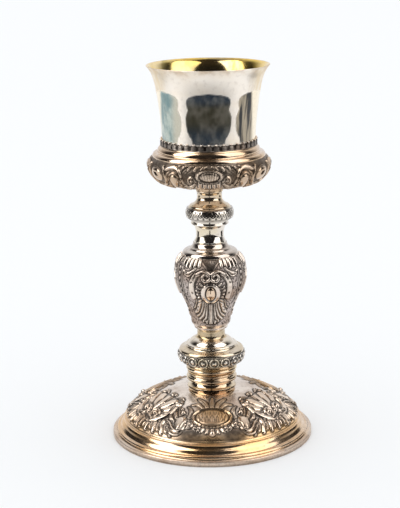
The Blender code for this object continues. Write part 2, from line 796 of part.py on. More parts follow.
def crest_band(base):
    """Upright strip round the cup, its top edge cut into teeth with a bead on each.

    Each ring has a reach and, for the middle of a tooth and of a notch, its depth below the top as a share.
    """
    columns = 2 * CREST_TEETH
    inner = CUP_RADIUS + GAP
    outer = inner + CREST_WALL
    skin = Skin()
    skin.turned([(inner, base), (outer + CREST_BEAD, base)], COLUMNS_CUP)
    for reach, tooth_depth, notch_depth in (
        (outer, 0.85, 0.85),
        (outer + CREST_BEAD, 0.18, 0.5),
        (outer, 0.0, CREST_NOTCH),
        (inner, 0.0, CREST_NOTCH),
    ):
        numbers = []
        for i in range(columns):
            depth = notch_depth if i % 2 else tooth_depth
            radius = min(reach, outer) if i % 2 else reach
            numbers.append(skin.corner(360.0 * i / columns, radius, base + CREST_HEIGHT * (1.0 - depth)))
        skin.join(numbers)
    return finished(skin, "crest_band", SILVER, CHASED, closed=True)


def cup(base, straight_top):
    """Round-bottomed cup with a straight waist, where the calyx and its crest hold it, and a flared lip."""
    top = base + CUP_HEIGHT
    lip = CUP_RADIUS + CUP_LIP_FLARE
    rise = top - straight_top
    bowl = base + CUP_BOWL_HEIGHT
    waist = (CUP_RADIUS + 0.36 * CUP_LIP_FLARE, straight_top + 0.66 * rise)
    neck = (CUP_RADIUS + 0.6 * CUP_LIP_FLARE, straight_top + 0.86 * rise)
    wall = CUP_WALL
    outside = trace([
        (0.0, base, 0.0),
        (CUP_SEAT_RADIUS, base, 0.0),
        (CUP_RADIUS, bowl, QUARTER),
        (CUP_RADIUS, straight_top, 0.0),
        (*waist, -0.025),
        (*neck, -0.03),
        (lip, top - 0.4 * wall, -0.07),
        (lip - 0.3 * wall, top, 0.3),
    ])
    inside = trace([
        (lip - wall, top - 0.2 * wall, 0.0),
        (neck[0] - wall, neck[1], 0.07),
        (waist[0] - wall, waist[1], 0.03),
        (CUP_RADIUS - wall, straight_top, 0.025),
        (CUP_RADIUS - wall, bowl, 0.0),
        (CUP_SEAT_RADIUS, base + wall, -QUARTER),
        (0.0, base + wall, 0.0),
    ])
    skin = Skin()
    skin.turned(outside, COLUMNS_CUP)
    skin.turned(inside, COLUMNS_CUP)
    return finished(skin, "cup", PALE_SILVER, POLISHED)


def chalice():
    """All the pieces, each standing a gap above the one that carries it."""
    clear_scene()
    foot()
    level = FOOT_HEIGHT + GAP
    ring_collar(level)
    level += COLLAR_HEIGHT + GAP
    lower_knop(level)
    level += LOWER_KNOP_HEIGHT + GAP
    baluster_knop(level)
    level += BALUSTER_HEIGHT + GAP
    upper_stem(level)
    level += UPPER_STEM_HEIGHT + GAP
    calyx(level)
    crest = level + CALYX_HEIGHT + GAP
    crest_band(crest)
    cup(level + CALYX_WALL + GAP, crest + CREST_HEIGHT)


chalice()
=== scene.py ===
"""The look of a silver and silver-gilt chalice: its fine chasing, its metals, the light and the camera.

Every piece of the frame gets a fine mesh of the same form. Lengths are in millimetres until a mesh is made,
angles in degrees from the front, and the front of the chalice faces -Y.
"""

import math

import bpy
import numpy as np
from mathutils import Matrix


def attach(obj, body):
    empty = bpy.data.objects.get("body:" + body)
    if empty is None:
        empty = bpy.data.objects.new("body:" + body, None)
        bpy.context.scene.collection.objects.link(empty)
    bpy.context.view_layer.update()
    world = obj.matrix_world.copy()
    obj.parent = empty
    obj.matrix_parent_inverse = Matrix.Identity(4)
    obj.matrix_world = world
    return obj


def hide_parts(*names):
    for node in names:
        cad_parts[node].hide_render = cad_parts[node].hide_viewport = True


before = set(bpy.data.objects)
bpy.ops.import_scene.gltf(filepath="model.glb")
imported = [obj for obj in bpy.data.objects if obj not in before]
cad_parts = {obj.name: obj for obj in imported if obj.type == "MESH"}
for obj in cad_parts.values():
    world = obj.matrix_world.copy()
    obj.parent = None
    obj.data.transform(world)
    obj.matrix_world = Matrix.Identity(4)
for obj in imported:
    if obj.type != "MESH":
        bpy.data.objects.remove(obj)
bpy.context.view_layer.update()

MM = 0.001

# The chased work repeats in six mirrored panels round the axis
PANEL = 60.0

# Degrees of arc for one step of a turned outline, and the length of a step of a chased one
ARC_STEP = 9.0
CHASED_STEP = 0.5

# Corners of a plain ring: outside, on the foot's rim, and inside, where little is seen
COLUMNS = 180
RIM_COLUMNS = 240
INNER_COLUMNS = 90

# Width of the dark groove that is chased round a form, and of the slope of its edge
GROOVE = 0.75
SLOPE = 0.55

# Width of the dark edge within a form
EDGE = 0.3

# Values that the surfaces carry for their finish: dark (oxide, and in places painted shade and painted dark
# reflection), gilding, matting and polish
VALUES = ("dark", "gilt", "matte", "polish")

# Turned and chased outlines


def arc(start, end, bulge, steps):
    """Points after start up to end; a positive bulge swells to the right of the way from start to end."""
    start = np.array(start, float)
    end = np.array(end, float)
    shares = np.linspace(0.0, 1.0, steps + 1)[1:, None]
    if bulge == 0.0:
        return start + (end - start) * shares
    chord = np.linalg.norm(end - start)
    ahead = (end - start) / chord
    right = np.array([ahead[1], -ahead[0]]) * math.copysign(1.0, bulge)
    half = 2.0 * math.atan(abs(bulge))
    radius = chord / (2.0 * math.sin(half))
    turn = -half + 2.0 * half * shares
    rise = radius * (np.cos(turn) - math.cos(half))
    return (start + end) / 2.0 + radius * np.sin(turn) * ahead + rise * right


def trace(stations, base=0.0, longest=None):
    """The outline through stations of radius, height above a base, and bulge of the arc that reaches them."""
    stations = [(radius, base + height, bulge) for radius, height, bulge in stations]
    points = [np.array([stations[0][:2]], float)]
    for before, (radius, height, bulge) in zip(stations, stations[1:]):
        steps = max(1, round(math.degrees(4.0 * math.atan(abs(bulge))) / ARC_STEP))
        if longest is not None:
            steps = max(steps, round(math.dist(before[:2], (radius, height)) / longest))
        points.append(arc(before[:2], (radius, height), bulge, steps))
    return np.concatenate(points)


def outward(points):
    """Unit normals of an outline, to the right of the way it runs."""
    along = np.gradient(points, axis=0)
    length = np.linalg.norm(along, axis=1)[:, None]
    return np.column_stack([along[:, 1], -along[:, 0]]) / length


def lengths_along(outline):
    """Distance along an outline of each of its points."""
    return np.concatenate([[0.0], np.cumsum(np.linalg.norm(np.diff(outline, axis=0), axis=1))])


def smooth_path(knots, pieces=6):
    """Points on a smooth curve through a few knots."""
    knots = np.array(knots, float)
    if len(knots) == 2:
        return knots
    padded = np.vstack([2 * knots[0] - knots[1], knots, 2 * knots[-1] - knots[-2]])
    shares = np.linspace(0.0, 1.0, pieces, endpoint=False)[:, None]
    curve = []
    for a, b, c, d in zip(padded, padded[1:], padded[2:], padded[3:]):
        bend = (2 * a - 5 * b + 4 * c - d) * shares ** 2
        twist = (3 * b - a - 3 * c + d) * shares ** 3
        curve.append(0.5 * (2 * b + (c - a) * shares + bend + twist))
    return np.vstack(curve + [knots[-1:]])


# Cross sections of a chased form, from its middle at 0 to its edge at 1


def rounded(q):
    return np.sqrt(np.clip(1.0 - q ** 2, 0.0, 1.0))


def flat(q):
    return np.clip((1.0 - q) * 3.5, 0.0, 1.0)


def soft(q):
    return 1.0 - q ** 3


def veined(q):
    return rounded(q) * (1.0 - 0.5 * np.exp(-(q / 0.22) ** 2))


class Relief:
    """Chased work on half a pattern: a height and the values of its finish over a turned surface.

    Places are an angle and a distance up the band, sizes are millimetres. Forms are laid one over another.
    """

    def __init__(self, outline, half, columns, rows):
        self.outline = outline
        self.run = lengths_along(outline)
        self.band = self.run[-1]
        middle = (outline[1:, 0] + outline[:-1, 0]) / 2.0
        self.evened = np.concatenate([[0.0], np.cumsum(np.diff(self.run) / middle)])
        self.ups = np.linspace(0.0, self.band, rows + 1)
        angle, up = np.meshgrid(np.linspace(0.0, half, columns + 1), self.ups)
        self.up = up
        self.across = np.radians(angle)
        self.along = self.even(up)
        self.radius = self.radius_at(up)
        self.half = half
        self.groove = GROOVE
        self.height = np.zeros(up.shape)
        self.values = {name: np.zeros(up.shape) for name in VALUES}

    def radius_at(self, up):
        return np.interp(up, self.run, self.outline[:, 0])

    def even(self, up):
        """Distance up in a map in which near the surface every way counts alike."""
        return np.interp(up, self.run, self.evened)

    def at(self, angle, up, x, y):
        """The place at distances across and up from another one."""
        high = up + y
        return angle + math.degrees(x / self.radius_at(high)), high

    def curl(self, angle, up, outer, inner, start, turn):
        """Knots of a spiral about a place, from the outer to the inner radius."""
        count = max(4, round(abs(turn) / 40.0))
        knots = []
        for share in np.linspace(0.0, 1.0, count):
            reach = outer + (inner - outer) * share
            heading = math.radians(start + turn * share)
            knots.append(self.at(angle, up, reach * math.cos(heading), reach * math.sin(heading)))
        return knots

    def spoke(self, angle, up, heading, reaches, wide=1.0):
        """Knots at distances from a place in one direction; wide stretches the way across."""
        turn = math.radians(heading)
        x = wide * math.cos(turn)
        y = math.sin(turn)
        return [self.at(angle, up, reach * x, reach * y) for reach in reaches]

    def from_place(self, angle, up):
        """Distances of the whole surface from a place, across and up."""
        scale = self.radius_at(up)
        return (self.across - math.radians(angle)) * scale, (self.along - self.even(up)) * scale

    def lay(self, outside, height, dark=0.0, gilt=None, matte=0.0, polish=0.0):
        """Lay a form; outside is the distance beyond its edge and negative within it."""
        groove = np.exp(-(np.maximum(outside, 0.0) / self.groove) ** 3)
        cover = np.clip(-outside / SLOPE, 0.0, 1.0)
        beside = self.height * (1.0 - 0.5 * groove) - 0.12 * groove
        self.height = np.where(outside < 0.0, self.height + (height - self.height) * cover, beside)
        worn = self.values
        edge = 0.75 * np.exp(-(np.minimum(outside, 0.0) / EDGE) ** 2)
        worn["dark"] = np.where(outside < 0.0, np.maximum(dark, edge), np.maximum(worn["dark"], groove))
        for name, value in (("gilt", gilt), ("matte", matte), ("polish", polish)):
            if value is not None:
                worn[name] = np.where(outside < 0.0, value, worn[name])

    def at_least(self, name, value):
        """Raise a value of the finish where it is lower than another."""
        self.values[name] = np.maximum(self.values[name], value)

    def along_path(self, knots):
        """Distance of the whole surface from a smooth path, and the nearest point's share of the path."""
        path = smooth_path(knots)
        px = np.radians(path[:, 0])
        py = self.even(path[:, 1])
        nearest = np.full(self.up.shape, np.inf)
        share_along = np.zeros(self.up.shape)
        pieces = len(px) - 1
        for i in range(pieces):
            dx = px[i + 1] - px[i]
            dy = py[i + 1] - py[i]
            share = ((self.across - px[i]) * dx + (self.along - py[i]) * dy) / (dx * dx + dy * dy)
            share = np.clip(share, 0.0, 1.0)
            apart = np.hypot(self.across - px[i] - share * dx, self.along - py[i] - share * dy)
            closer = apart < nearest
            nearest = np.where(closer, apart, nearest)
            share_along = np.where(closer, (i + share) / pieces, share_along)
        return nearest * self.radius, share_along

    def ribbon(self, knots, width, height, ends=(1.0, 1.0), form=rounded, **finish):
        """A ridge of a given half width along a path, narrowed at either end by the given shares."""
        apart, along = self.along_path(knots)
        taper = np.interp(along, (0.0, 0.5, 1.0), (ends[0], 1.0, ends[1]))
        q = apart / (width * taper)
        lift = height * (0.45 + 0.55 * taper) * form(np.minimum(q, 1.0))
        if form is veined:
            finish.setdefault("dark", 0.7 * np.exp(-(q / 0.2) ** 2))
        self.lay(apart - width * taper, lift, **finish)

    def oval(self, angle, up, wide, tall, height, form=rounded, **finish):
        """An oval with the given half sizes."""
        x, y = self.from_place(angle, up)
        out = np.hypot(x / wide, y / tall)
        self.lay((out - 1.0) * min(wide, tall), height * form(np.minimum(out, 1.0)), **finish)

    def bead(self, angle, up, size, height):
        """A round polished bead."""
        self.oval(angle, up, size, size, height, polish=1.0)

    def ring(self, angle, up, wide, tall, band, height, **finish):
        """A rounded ridge along an oval."""
        x, y = self.from_place(angle, up)
        apart = np.abs(np.hypot(x / wide, y / tall) - 1.0) * min(wide, tall)
        self.lay(apart - band, height * rounded(np.minimum(apart / band, 1.0)), **finish)

    def rays(self, angle, up, near, far, facing, step, count, width, height, wide=1.0, **finish):
        """Petals that spread from a place, in steps of an angle from the facing one, the outermost first."""
        reaches = (near, (near + far) / 2.0, far)
        for number in reversed(range(count)):
            knots = self.spoke(angle, up, facing + step * number, reaches, wide)
            self.ribbon(knots, width, height, (0.5, 0.9), **finish)

    def line(self, knots, width=0.3, depth=0.18):
        """An engraved line."""
        apart, _ = self.along_path(knots)
        cut = np.exp(-(apart / width) ** 2)
        self.height = self.height - depth * cut
        self.at_least("dark", 0.85 * cut)

    def dot(self, angle, up, size, depth=0.35):
        """A punched dot."""
        x, y = self.from_place(angle, up)
        cut = np.exp(-((x ** 2 + y ** 2) / size ** 2) ** 1.5)
        self.height = self.height - depth * cut
        self.at_least("dark", cut)


# Chased work of each piece


def chase_foot(work):
    """Medallions over a fan of ribs, and between them shells in pairs of scrolls over hanging leaves."""
    # Low leaves above the medallion
    low_leaf = {"form": veined, "gilt": 0.5, "dark": 0.45}
    work.ribbon([(9.0, 31.0), (15.0, 34.6), (22.5, 33.4)], 1.8, 0.9, (0.7, 0.5), **low_leaf)
    work.ribbon([(4.0, 31.0), (9.5, 37.0), (18.0, 40.6)], 2.0, 0.9, (0.7, 0.6), **low_leaf)
    work.ribbon([(0.0, 31.0), (0.0, 42.0)], 1.9, 0.9, (0.8, 0.6), **low_leaf)
    # Ribs under the medallion, with a bead in the middle and two beside them
    work.rays(0.0, 22.5, 9.0, 15.4, -90.0, 12.0, 7, 1.4, 1.1, wide=1.35, polish=0.6)
    work.bead(0.0, 6.8, 2.3, 2.4)
    work.bead(13.2, 11.4, 1.4, 1.7)
    work.bead(10.2, 9.2, 1.2, 1.5)
    # Scroll beside the medallion
    work.ribbon([(26.0, 31.0), (21.2, 28.0), (19.4, 23.0), (21.0, 18.0)], 1.7, 1.5, (0.4, 0.9), veined)
    work.ribbon(work.curl(18.2, 14.4, 3.7, 1.2, 60.0, -420.0), 1.35, 1.5, (1.0, 0.7), polish=0.6)
    work.bead(18.2, 14.4, 1.4, 2.3)
    # Leaves and beads between the medallion and the great scroll
    work.ribbon([(28.0, 19.0), (30.5, 24.5), (35.0, 29.5)], 1.4, 1.3, (0.7, 0.6), veined, gilt=0.3)
    work.ribbon([(29.0, 17.5), (33.0, 21.0), (36.8, 26.0)], 1.6, 1.5, (0.7, 0.6), veined, gilt=0.3)
    work.ribbon([(31.0, 15.0), (35.0, 17.0), (38.0, 20.5)], 1.5, 1.6, (0.7, 0.6), veined)
    work.bead(27.2, 24.4, 1.8, 1.9)
    work.bead(24.4, 21.4, 1.2, 1.4)
    work.bead(30.2, 27.6, 1.1, 1.2)
    # Hanging leaves, broad and narrow in turn
    for number in range(9):
        root = 33.0 + 3.0 * number
        lean = 4.4 - 0.55 * number
        broad = number % 2 == 0
        low = 2.9 if broad else 4.4
        knots = [(root + 0.5, 13.4), (root + 0.2, 9.4), (root - 0.45 * lean, 6.0), (root - lean, low)]
        work.ribbon(knots, 2.0 if broad else 1.2, 1.2 if broad else 0.9, (0.8, 0.75), soft, polish=0.6)
    # Smooth bean and the ribbons that run from under it to the great scroll
    work.ribbon([(20.3, 9.4), (23.2, 4.4), (28.4, 4.2), (31.6, 7.6)], 0.9, 1.3, (0.6, 0.6))
    work.ribbon([(25.4, 16.6), (25.6, 9.6)], 3.9, 1.2, (1.1, 0.6), soft, polish=0.8)
    flow = [(20.8, 14.0), (21.6, 9.6), (24.8, 6.4), (28.8, 8.0), (32.4, 11.8), (37.0, 14.6)]
    work.ribbon(flow, 1.4, 1.3, (0.6, 0.7), polish=0.6)
    # Smooth shell with broad folds, its curled edge and the tips above
    work.oval(60.0, 26.0, 15.5, 13.0, 0.9, flat, polish=0.8, dark=0.25)
    for heading in (142.0, 115.0):
        fold = work.spoke(60.0, 14.0, heading, (8.0, 14.0, 20.0))
        work.ribbon(fold, 3.5, 1.2, (0.4, 1.0), soft, polish=0.8)
    work.ribbon([(60.0, 20.0), (60.0, 36.0)], 2.9, 1.3, (0.4, 1.0), soft, polish=0.8)
    edge = [(37.4, 33.0), (39.0, 28.8), (42.4, 25.2), (46.8, 22.6)]
    work.ribbon(edge, 3.3, 1.5, (0.6, 0.6), soft, polish=0.8)
    work.ribbon([(36.8, 34.0), (41.0, 37.6), (47.0, 37.4)], 1.6, 1.5, (0.7, 0.5), veined)
    work.bead(38.2, 37.2, 1.0, 1.2)
    work.bead(60.0, 38.6, 2.2, 2.0)
    work.bead(55.8, 39.2, 1.2, 1.3)
    # Great scroll and the curl in it
    band = [(37.6, 27.6), (39.0, 21.6), (43.0, 15.6), (48.4, 11.9), (54.4, 10.2), (60.0, 10.6)]
    work.ribbon(band, 2.1, 1.7, (0.45, 0.8), polish=0.7)
    work.ribbon(work.curl(52.8, 17.0, 4.9, 1.5, -100.0, 440.0), 1.35, 1.6, (0.9, 0.7), polish=0.6)
    work.bead(52.8, 17.0, 1.8, 2.7)
    work.bead(60.0, 15.6, 1.9, 2.4)
    # Pendant
    work.ribbon([(57.0, 9.4), (56.4, 4.2)], 1.2, 1.5, (0.9, 0.8))
    work.ribbon([(60.0, 10.0), (60.0, 5.0), (60.0, 1.4)], 1.9, 2.1, (0.9, 0.5), veined)
    # Medallion with rows of engraved strokes
    work.oval(0.0, 22.5, 14.2, 9.3, 0.7, flat, gilt=1.0, dark=0.2)
    work.ring(0.0, 22.5, 13.7, 8.8, 0.75, 1.4, gilt=0.8, polish=0.6)
    for row in range(3):
        high = 19.0 + 3.6 * row
        reach = 10.6 * math.sqrt(1.0 - ((high - 22.5) / 8.6) ** 2)
        place = 1.3
        while place < reach:
            lean = 0.9 * math.sin(2.1 * place + 1.7 * row)
            work.line([work.at(0.0, high, place, -1.3), work.at(0.0, high, place + lean, 1.3)], 0.55, 0.3)
            place += 2.0 + 0.5 * math.cos(3.0 * place)
    # Polished ground, a little darker low down
    ground = (work.values["dark"] < 0.05) & (work.height == 0.0)
    work.values["polish"] = np.where(ground, 1.0, work.values["polish"])
    work.values["dark"] = np.where(ground & (work.up < 36.0), 0.3, work.values["dark"])
    work.at_least("gilt", 0.25 * (work.height > 0.2))
    # Tarnish round the medallion, and painted dark reflection on the polished reserves under it
    low = work.height < 0.4
    clouds = ((0.0, 31.0, 12.5, 9.5, 0.62, 1.0), (15.0, 4.8, 11.0, 5.6, 0.9, 0.25))
    for angle, up, wide, tall, tone, gilt in clouds:
        x, y = work.from_place(angle, up)
        cloud = tone * np.exp(-np.hypot(x / wide, y / tall) ** 6)
        work.at_least("dark", np.where(low, cloud, 0.5 * cloud))
        work.at_least("gilt", gilt * cloud)


def chase_calyx(work):
    """Medallions and smooth ovals in turn, with scrolls, lattice, lobes and leaves between them."""
    # Darker towards the top of the band
    work.values["dark"][:] = np.clip(0.3 + (work.up - 6.0) / 18.0, 0.3, 0.85)
    # Small leaves along the top
    for number in range(6):
        root = 7.0 + 6.4 * number
        work.ribbon([(root, 22.2), (root - 1.6, 24.0), (root - 4.6, 24.9)], 1.25, 1.0, (0.9, 0.5), veined)
    # Lattice beside the medallion, and the bar that closes it
    for number in range(6):
        high = 9.6 + 2.2 * number
        work.line([(17.5, high), (26.0, high + 5.6)], 0.32, 0.25)
        work.line([(17.5, high + 5.6), (26.0, high)], 0.32, 0.25)
    work.ribbon([(26.4, 22.0), (27.6, 17.0), (26.2, 12.0), (22.0, 8.6)], 0.9, 1.2, (0.6, 0.6), polish=0.5)
    # Curl, and leaves under it
    work.ribbon([(16.5, 8.4), (21.0, 4.6), (28.0, 3.4)], 1.3, 1.0, (0.7, 0.6), veined)
    work.ribbon([(13.6, 11.6), (18.6, 8.2), (26.4, 7.8)], 1.3, 1.2, (0.7, 0.6), veined)
    work.ribbon(work.curl(17.4, 14.2, 3.1, 1.0, 190.0, -400.0), 1.05, 1.3, (1.0, 0.7), polish=0.5)
    work.bead(17.4, 14.2, 1.1, 1.6)
    # Smooth lobe with leaves at its sides
    for number in range(4):
        high = 19.0 - 3.8 * number
        right = [(40.4 + 0.6 * number, high), (43.0, high - 1.4), (44.2, high - 3.4)]
        left = [(31.6, high - 0.6), (29.8, high - 2.4), (30.4, high - 4.4)]
        work.ribbon(right, 1.25, 1.1, (0.9, 0.5), veined)
        work.ribbon(left, 1.05, 1.0, (0.9, 0.5), veined)
    work.ribbon([(35.8, 16.4), (36.6, 12.0), (38.6, 6.4)], 3.3, 1.5, (1.1, 0.4), polish=1.0)
    work.ribbon([(30.2, 16.0), (32.0, 18.6), (36.6, 19.4), (41.0, 17.0)], 0.9, 1.3, (0.6, 0.6))
    # Great scroll over it
    scroll = [(27.4, 17.0), (28.6, 20.6), (32.6, 22.8), (38.4, 23.0), (44.6, 21.0), (48.0, 23.0)]
    work.ribbon(scroll, 1.6, 1.8, (0.5, 0.5), polish=1.0)
    # Frame of the smooth oval, with tongues under it
    for number in range(5):
        root = 45.6 + 3.4 * number
        work.ribbon([(root, 7.4 - 0.3 * number), (root - 0.6, 2.8 - 0.2 * number)], 1.2, 1.0, (1.0, 0.7))
    frame_line = [(48.4, 23.4), (46.4, 19.6), (46.2, 14.4), (49.0, 9.8), (54.0, 7.4), (60.0, 6.8)]
    work.ribbon(frame_line, 1.15, 1.4, (0.6, 1.0), polish=0.5)
    work.oval(60.0, 15.8, 8.0, 6.4, 0.9, flat, dark=0.3)
    work.oval(60.0, 15.8, 6.9, 5.3, 1.6, polish=1.0, gilt=0.15)
    # Blocks under the medallion
    for number in range(3):
        root = 4.4 * number + 0.1
        block = [(root, 12.4), (1.1 * root, 7.0 + 0.3 * number)]
        work.ribbon(block, 1.5, 1.0, (1.0, 0.9), flat, gilt=0.35, dark=0.1)
    work.ribbon([(11.6, 20.0), (13.6, 16.6), (13.2, 13.0)], 1.0, 1.1, (0.7, 0.7), veined)
    # Medallion with engraved strokes
    work.oval(0.0, 17.2, 9.2, 4.9, 0.8, flat, gilt=0.35, dark=0.2)
    work.ring(0.0, 17.2, 8.8, 4.6, 0.6, 1.3, gilt=0.25, polish=0.5)
    for number in range(4):
        place = 1.0 + 1.8 * number
        tall = 2.9 * math.sqrt(1.0 - (place / 8.8) ** 2)
        work.line([work.at(0.0, 17.2, place, -tall), work.at(0.0, 17.2, place + 0.6, tall)], 0.32, 0.2)
    work.at_least("dark", 0.2)
    work.at_least("gilt", 0.4)


def chase_baluster(work):
    """Cartouches with an oval boss, a frame of flutes and a palmette below, tongues at the shoulder."""
    ground = work.up < 50.0
    work.values["matte"][:] = np.where(ground, 1.0, 0.0)
    work.values["dark"][:] = np.where(ground, 0.12, 0.3)
    # Thin rays and tongues of the shoulder
    for number in range(6):
        lean = 3.3 * number + 1.4
        work.ribbon([(lean, 53.6), (0.55 * lean, 49.6), (0.3 * lean, 46.6)], 0.55, 0.7, (1.0, 0.5))
    for number in range(5):
        middle = 19.6 + 7.8 * number
        low = 49.4 - 1.4 * math.sin(0.7 * number)
        work.ribbon([(middle, 54.6), (middle, low)], 1.35, 1.1, (0.9, 1.0), polish=1.0)
    festoon = [(25.0, 47.4), (32.0, 45.0), (39.0, 43.6), (47.0, 44.0), (54.0, 47.0)]
    work.ribbon(festoon, 1.35, 1.1, (0.5, 0.3), polish=0.8)
    work.ribbon([(30.0, 44.2), (37.0, 41.4), (45.0, 41.6), (51.0, 44.0)], 0.7, 0.8, (0.4, 0.3))
    # Strip between the cartouches
    work.ribbon([(52.4, 48.0), (53.0, 42.0), (54.4, 30.0), (60.0, 17.5)], 0.6, 0.35, (1.0, 0.6), matte=0.5)
    for number in range(7):
        work.oval(60.0, 46.5 - 4.1 * number, 1.3 - 0.1 * number, 1.5, 0.45, matte=0.4)
    # Fronds of the palmette, from the outermost to the stem
    work.ribbon([(28.0, 23.6), (31.0, 19.0), (37.0, 15.4), (46.0, 13.2)], 1.0, 0.9, (0.6, 0.5), polish=0.5)
    broad = [(21.0, 23.0), (23.0, 18.0), (29.0, 13.4), (40.0, 10.4)]
    work.ribbon(broad, 2.4, 0.9, (0.7, 0.6), flat, polish=0.5)
    work.dot(33.6, 12.4, 0.7)
    work.dot(28.6, 15.6, 0.6)
    fronds = (
        ([(14.6, 20.4), (16.6, 15.4), (23.6, 10.4), (37.0, 7.4)], 1.45, 1.0, (0.6, 0.9)),
        ([(10.4, 19.0), (12.0, 13.6), (18.0, 8.8), (30.0, 5.4)], 1.35, 1.0, (0.6, 1.0)),
        ([(6.8, 18.4), (8.0, 12.0), (12.0, 6.6), (20.6, 3.6)], 1.25, 1.0, (0.6, 0.9)),
        ([(3.9, 18.0), (4.4, 9.0), (7.2, 4.4), (10.4, 2.0), (13.4, 3.4)], 0.85, 1.0, (0.7, 0.9)),
        ([(1.7, 18.4), (1.7, 8.0), (2.6, 1.8)], 0.66, 1.1, (0.9, 1.3)),
    )
    for knots, width, height, ends in fronds:
        work.ribbon(knots, width, height, ends, polish=0.6)
    # Flutes between the frame and the boss
    for number in range(7):
        flute = work.spoke(0.0, 28.2, 64.0 - 17.0 * number, (7.6, 9.6, 11.4))
        work.ribbon(flute, 0.85, 0.8, (0.7, 1.0), polish=0.4)
    # Frame of two dotted bands that curl inwards above the boss
    work.ribbon([(27.6, 24.6), (28.2, 29.5), (28.0, 33.6), (26.0, 37.4), (21.6, 40.4)], 0.6, 0.95, (0.8, 0.6))
    band = [(32.6, 24.8), (33.4, 29.2), (33.2, 33.4), (31.0, 38.0), (25.6, 42.0), (19.0, 44.0)]
    work.ribbon(band, 2.3, 1.1, (0.95, 0.7), flat, polish=0.6)
    eye = work.curl(8.1, 41.2, 3.9, 1.5, 100.0, 400.0)
    work.ribbon([(23.0, 43.6), (16.0, 45.4), (10.4, 45.6)] + eye, 1.35, 1.25, (0.6, 0.8), polish=0.6)
    work.dot(8.4, 41.6, 1.15, 0.5)
    work.dot(31.6, 37.2, 0.8, 0.5)
    work.dot(32.2, 28.8, 0.8, 0.5)
    # Boss with a groove round its middle
    work.oval(0.0, 27.2, 7.3, 9.2, 1.2, polish=0.7)
    work.oval(0.0, 28.0, 3.3, 5.5, 1.45, polish=1.0, gilt=0.45)
    turns = np.linspace(-0.4, 3.6, 11)
    groove = [work.at(0.0, 28.0, 3.7 * math.sin(turn), 5.9 * math.cos(turn)) for turn in turns]
    work.line(groove, 0.55, 0.6)


def chase_circles(work):
    """Half of a circle with a bead in it, and half of the mark that follows; the band repeats both."""
    middle = work.band / 2.0
    work.values["matte"][:] = 0.6
    work.oval(0.0, middle + 0.2, 3.8, 3.8, 0.35, flat)
    work.ring(0.0, middle + 0.2, 3.3, 3.3, 0.6, 0.75)
    work.oval(0.0, middle + 0.2, 1.6, 1.6, 0.7, polish=0.8)
    for side in (-1.0, 1.0):
        work.oval(work.half, middle + side * 2.9, 0.6, 0.9, 0.45)
    work.line([(0.0, middle + 4.2), (work.half, middle + 4.2)], 0.3, 0.2)


def chase_crosses(work):
    """Half of a slanting cross and half of a pair of dots; the band repeats both."""
    middle = work.band / 2.0
    work.values["polish"][:] = 1.0
    for slope in (-1.0, 1.0):
        work.line([(0.0, middle + slope * 1.6), (work.half, middle - slope * 1.6)], 0.38, 0.1)
    work.dot(0.0, middle - 2.4, 0.95, 0.2)
    work.dot(work.half, middle + 2.2, 0.75, 0.15)
    for side in (-1.0, 1.0):
        work.line([(0.0, middle + side * 3.5), (work.half, middle + side * 3.5)], 0.34, 0.2)


class Skin:
    """The closed surface of one piece, grown ring by ring with the solid on its left."""

    def __init__(self):
        self.corners = []
        self.quads = []
        self.triangles = []
        self.values = {name: [] for name in VALUES}
        self.count = 0
        self.first = None
        self.last = None

    def ring(self, angles, radii, heights, values):
        """Add a ring of corners with the values of their finish, and join it to the one before."""
        turn = np.radians(angles)
        corners = np.column_stack([radii * np.sin(turn), -radii * np.cos(turn), heights + 0.0 * turn])
        self.corners.append(corners)
        for name in VALUES:
            self.values[name].append(np.zeros(len(turn)) + values.get(name, 0.0))
        numbers = np.arange(self.count, self.count + len(turn))
        self.count += len(turn)
        self.join(numbers)

    def join(self, numbers):
        if self.last is None:
            self.first = numbers
        elif len(self.last) == len(numbers):
            low, high = self.last, numbers
            self.quads.append(np.column_stack([low, np.roll(low, -1), np.roll(high, -1), high]))
        else:
            self.stitch(self.last, numbers)
        self.last = numbers

    def stitch(self, low, high):
        """Faces between two rings that differ in count, or between a ring and a single corner."""
        n = len(low)
        m = len(high)
        i = 0
        j = 0
        while i < (n if n > 1 else 0) or j < (m if m > 1 else 0):
            if m == 1 or (n > 1 and i < n and (j >= m or (i + 1) * m <= (j + 1) * n)):
                self.triangles.append((low[i], low[(i + 1) % n], high[j % m]))
                i += 1
            else:
                self.triangles.append((low[i % n], high[(j + 1) % m], high[j % m]))
                j += 1

    def turned(self, outline, columns, **values):
        """Plain rings along an outline, with a single corner where it meets the axis."""
        for radius, height in outline:
            count = columns if radius > 0.0 else 1
            self.ring(360.0 * np.arange(count) / count, radius, height, values)

    def chased(self, work, shift=0):
        """The whole band of a chased pattern, mirrored and repeated round the axis."""
        panels = round(360.0 / work.half)
        normals = outward(work.outline)

        def around(row):
            half = np.concatenate([row[:-1], row[::-1][:-1]])
            return np.roll(np.tile(half, panels // 2), shift)

        count = len(around(work.height[0]))
        angles = 360.0 * np.arange(count) / count
        for i, up in enumerate(work.ups):
            edge = np.clip(min(up, work.band - up) / SLOPE, 0.0, 1.0)
            lift = edge * around(work.height[i])
            radius, height = (np.interp(up, work.run, work.outline[:, k]) for k in (0, 1))
            side, rise = (np.interp(up, work.run, normals[:, k]) for k in (0, 1))
            values = {name: around(work.values[name][i]) for name in VALUES}
            self.ring(angles, radius + lift * side, height + lift * rise, values)

    def made(self, name, closed=False):
        """The object that the skin makes; closed joins its last ring to its first."""
        if closed:
            self.join(self.first)
        corners = np.concatenate(self.corners) * MM
        faces = np.concatenate(self.quads).tolist() + self.triangles
        mesh = bpy.data.meshes.new(name)
        mesh.from_pydata(corners.tolist(), [], faces)
        for value in VALUES:
            layer = mesh.attributes.new(value, "FLOAT", "POINT")
            layer.data.foreach_set("value", np.concatenate(self.values[value]).astype(np.float32))
        mesh.shade_smooth()
        thing = bpy.data.objects.new(name, mesh)
        bpy.context.scene.collection.objects.link(thing)
        return thing


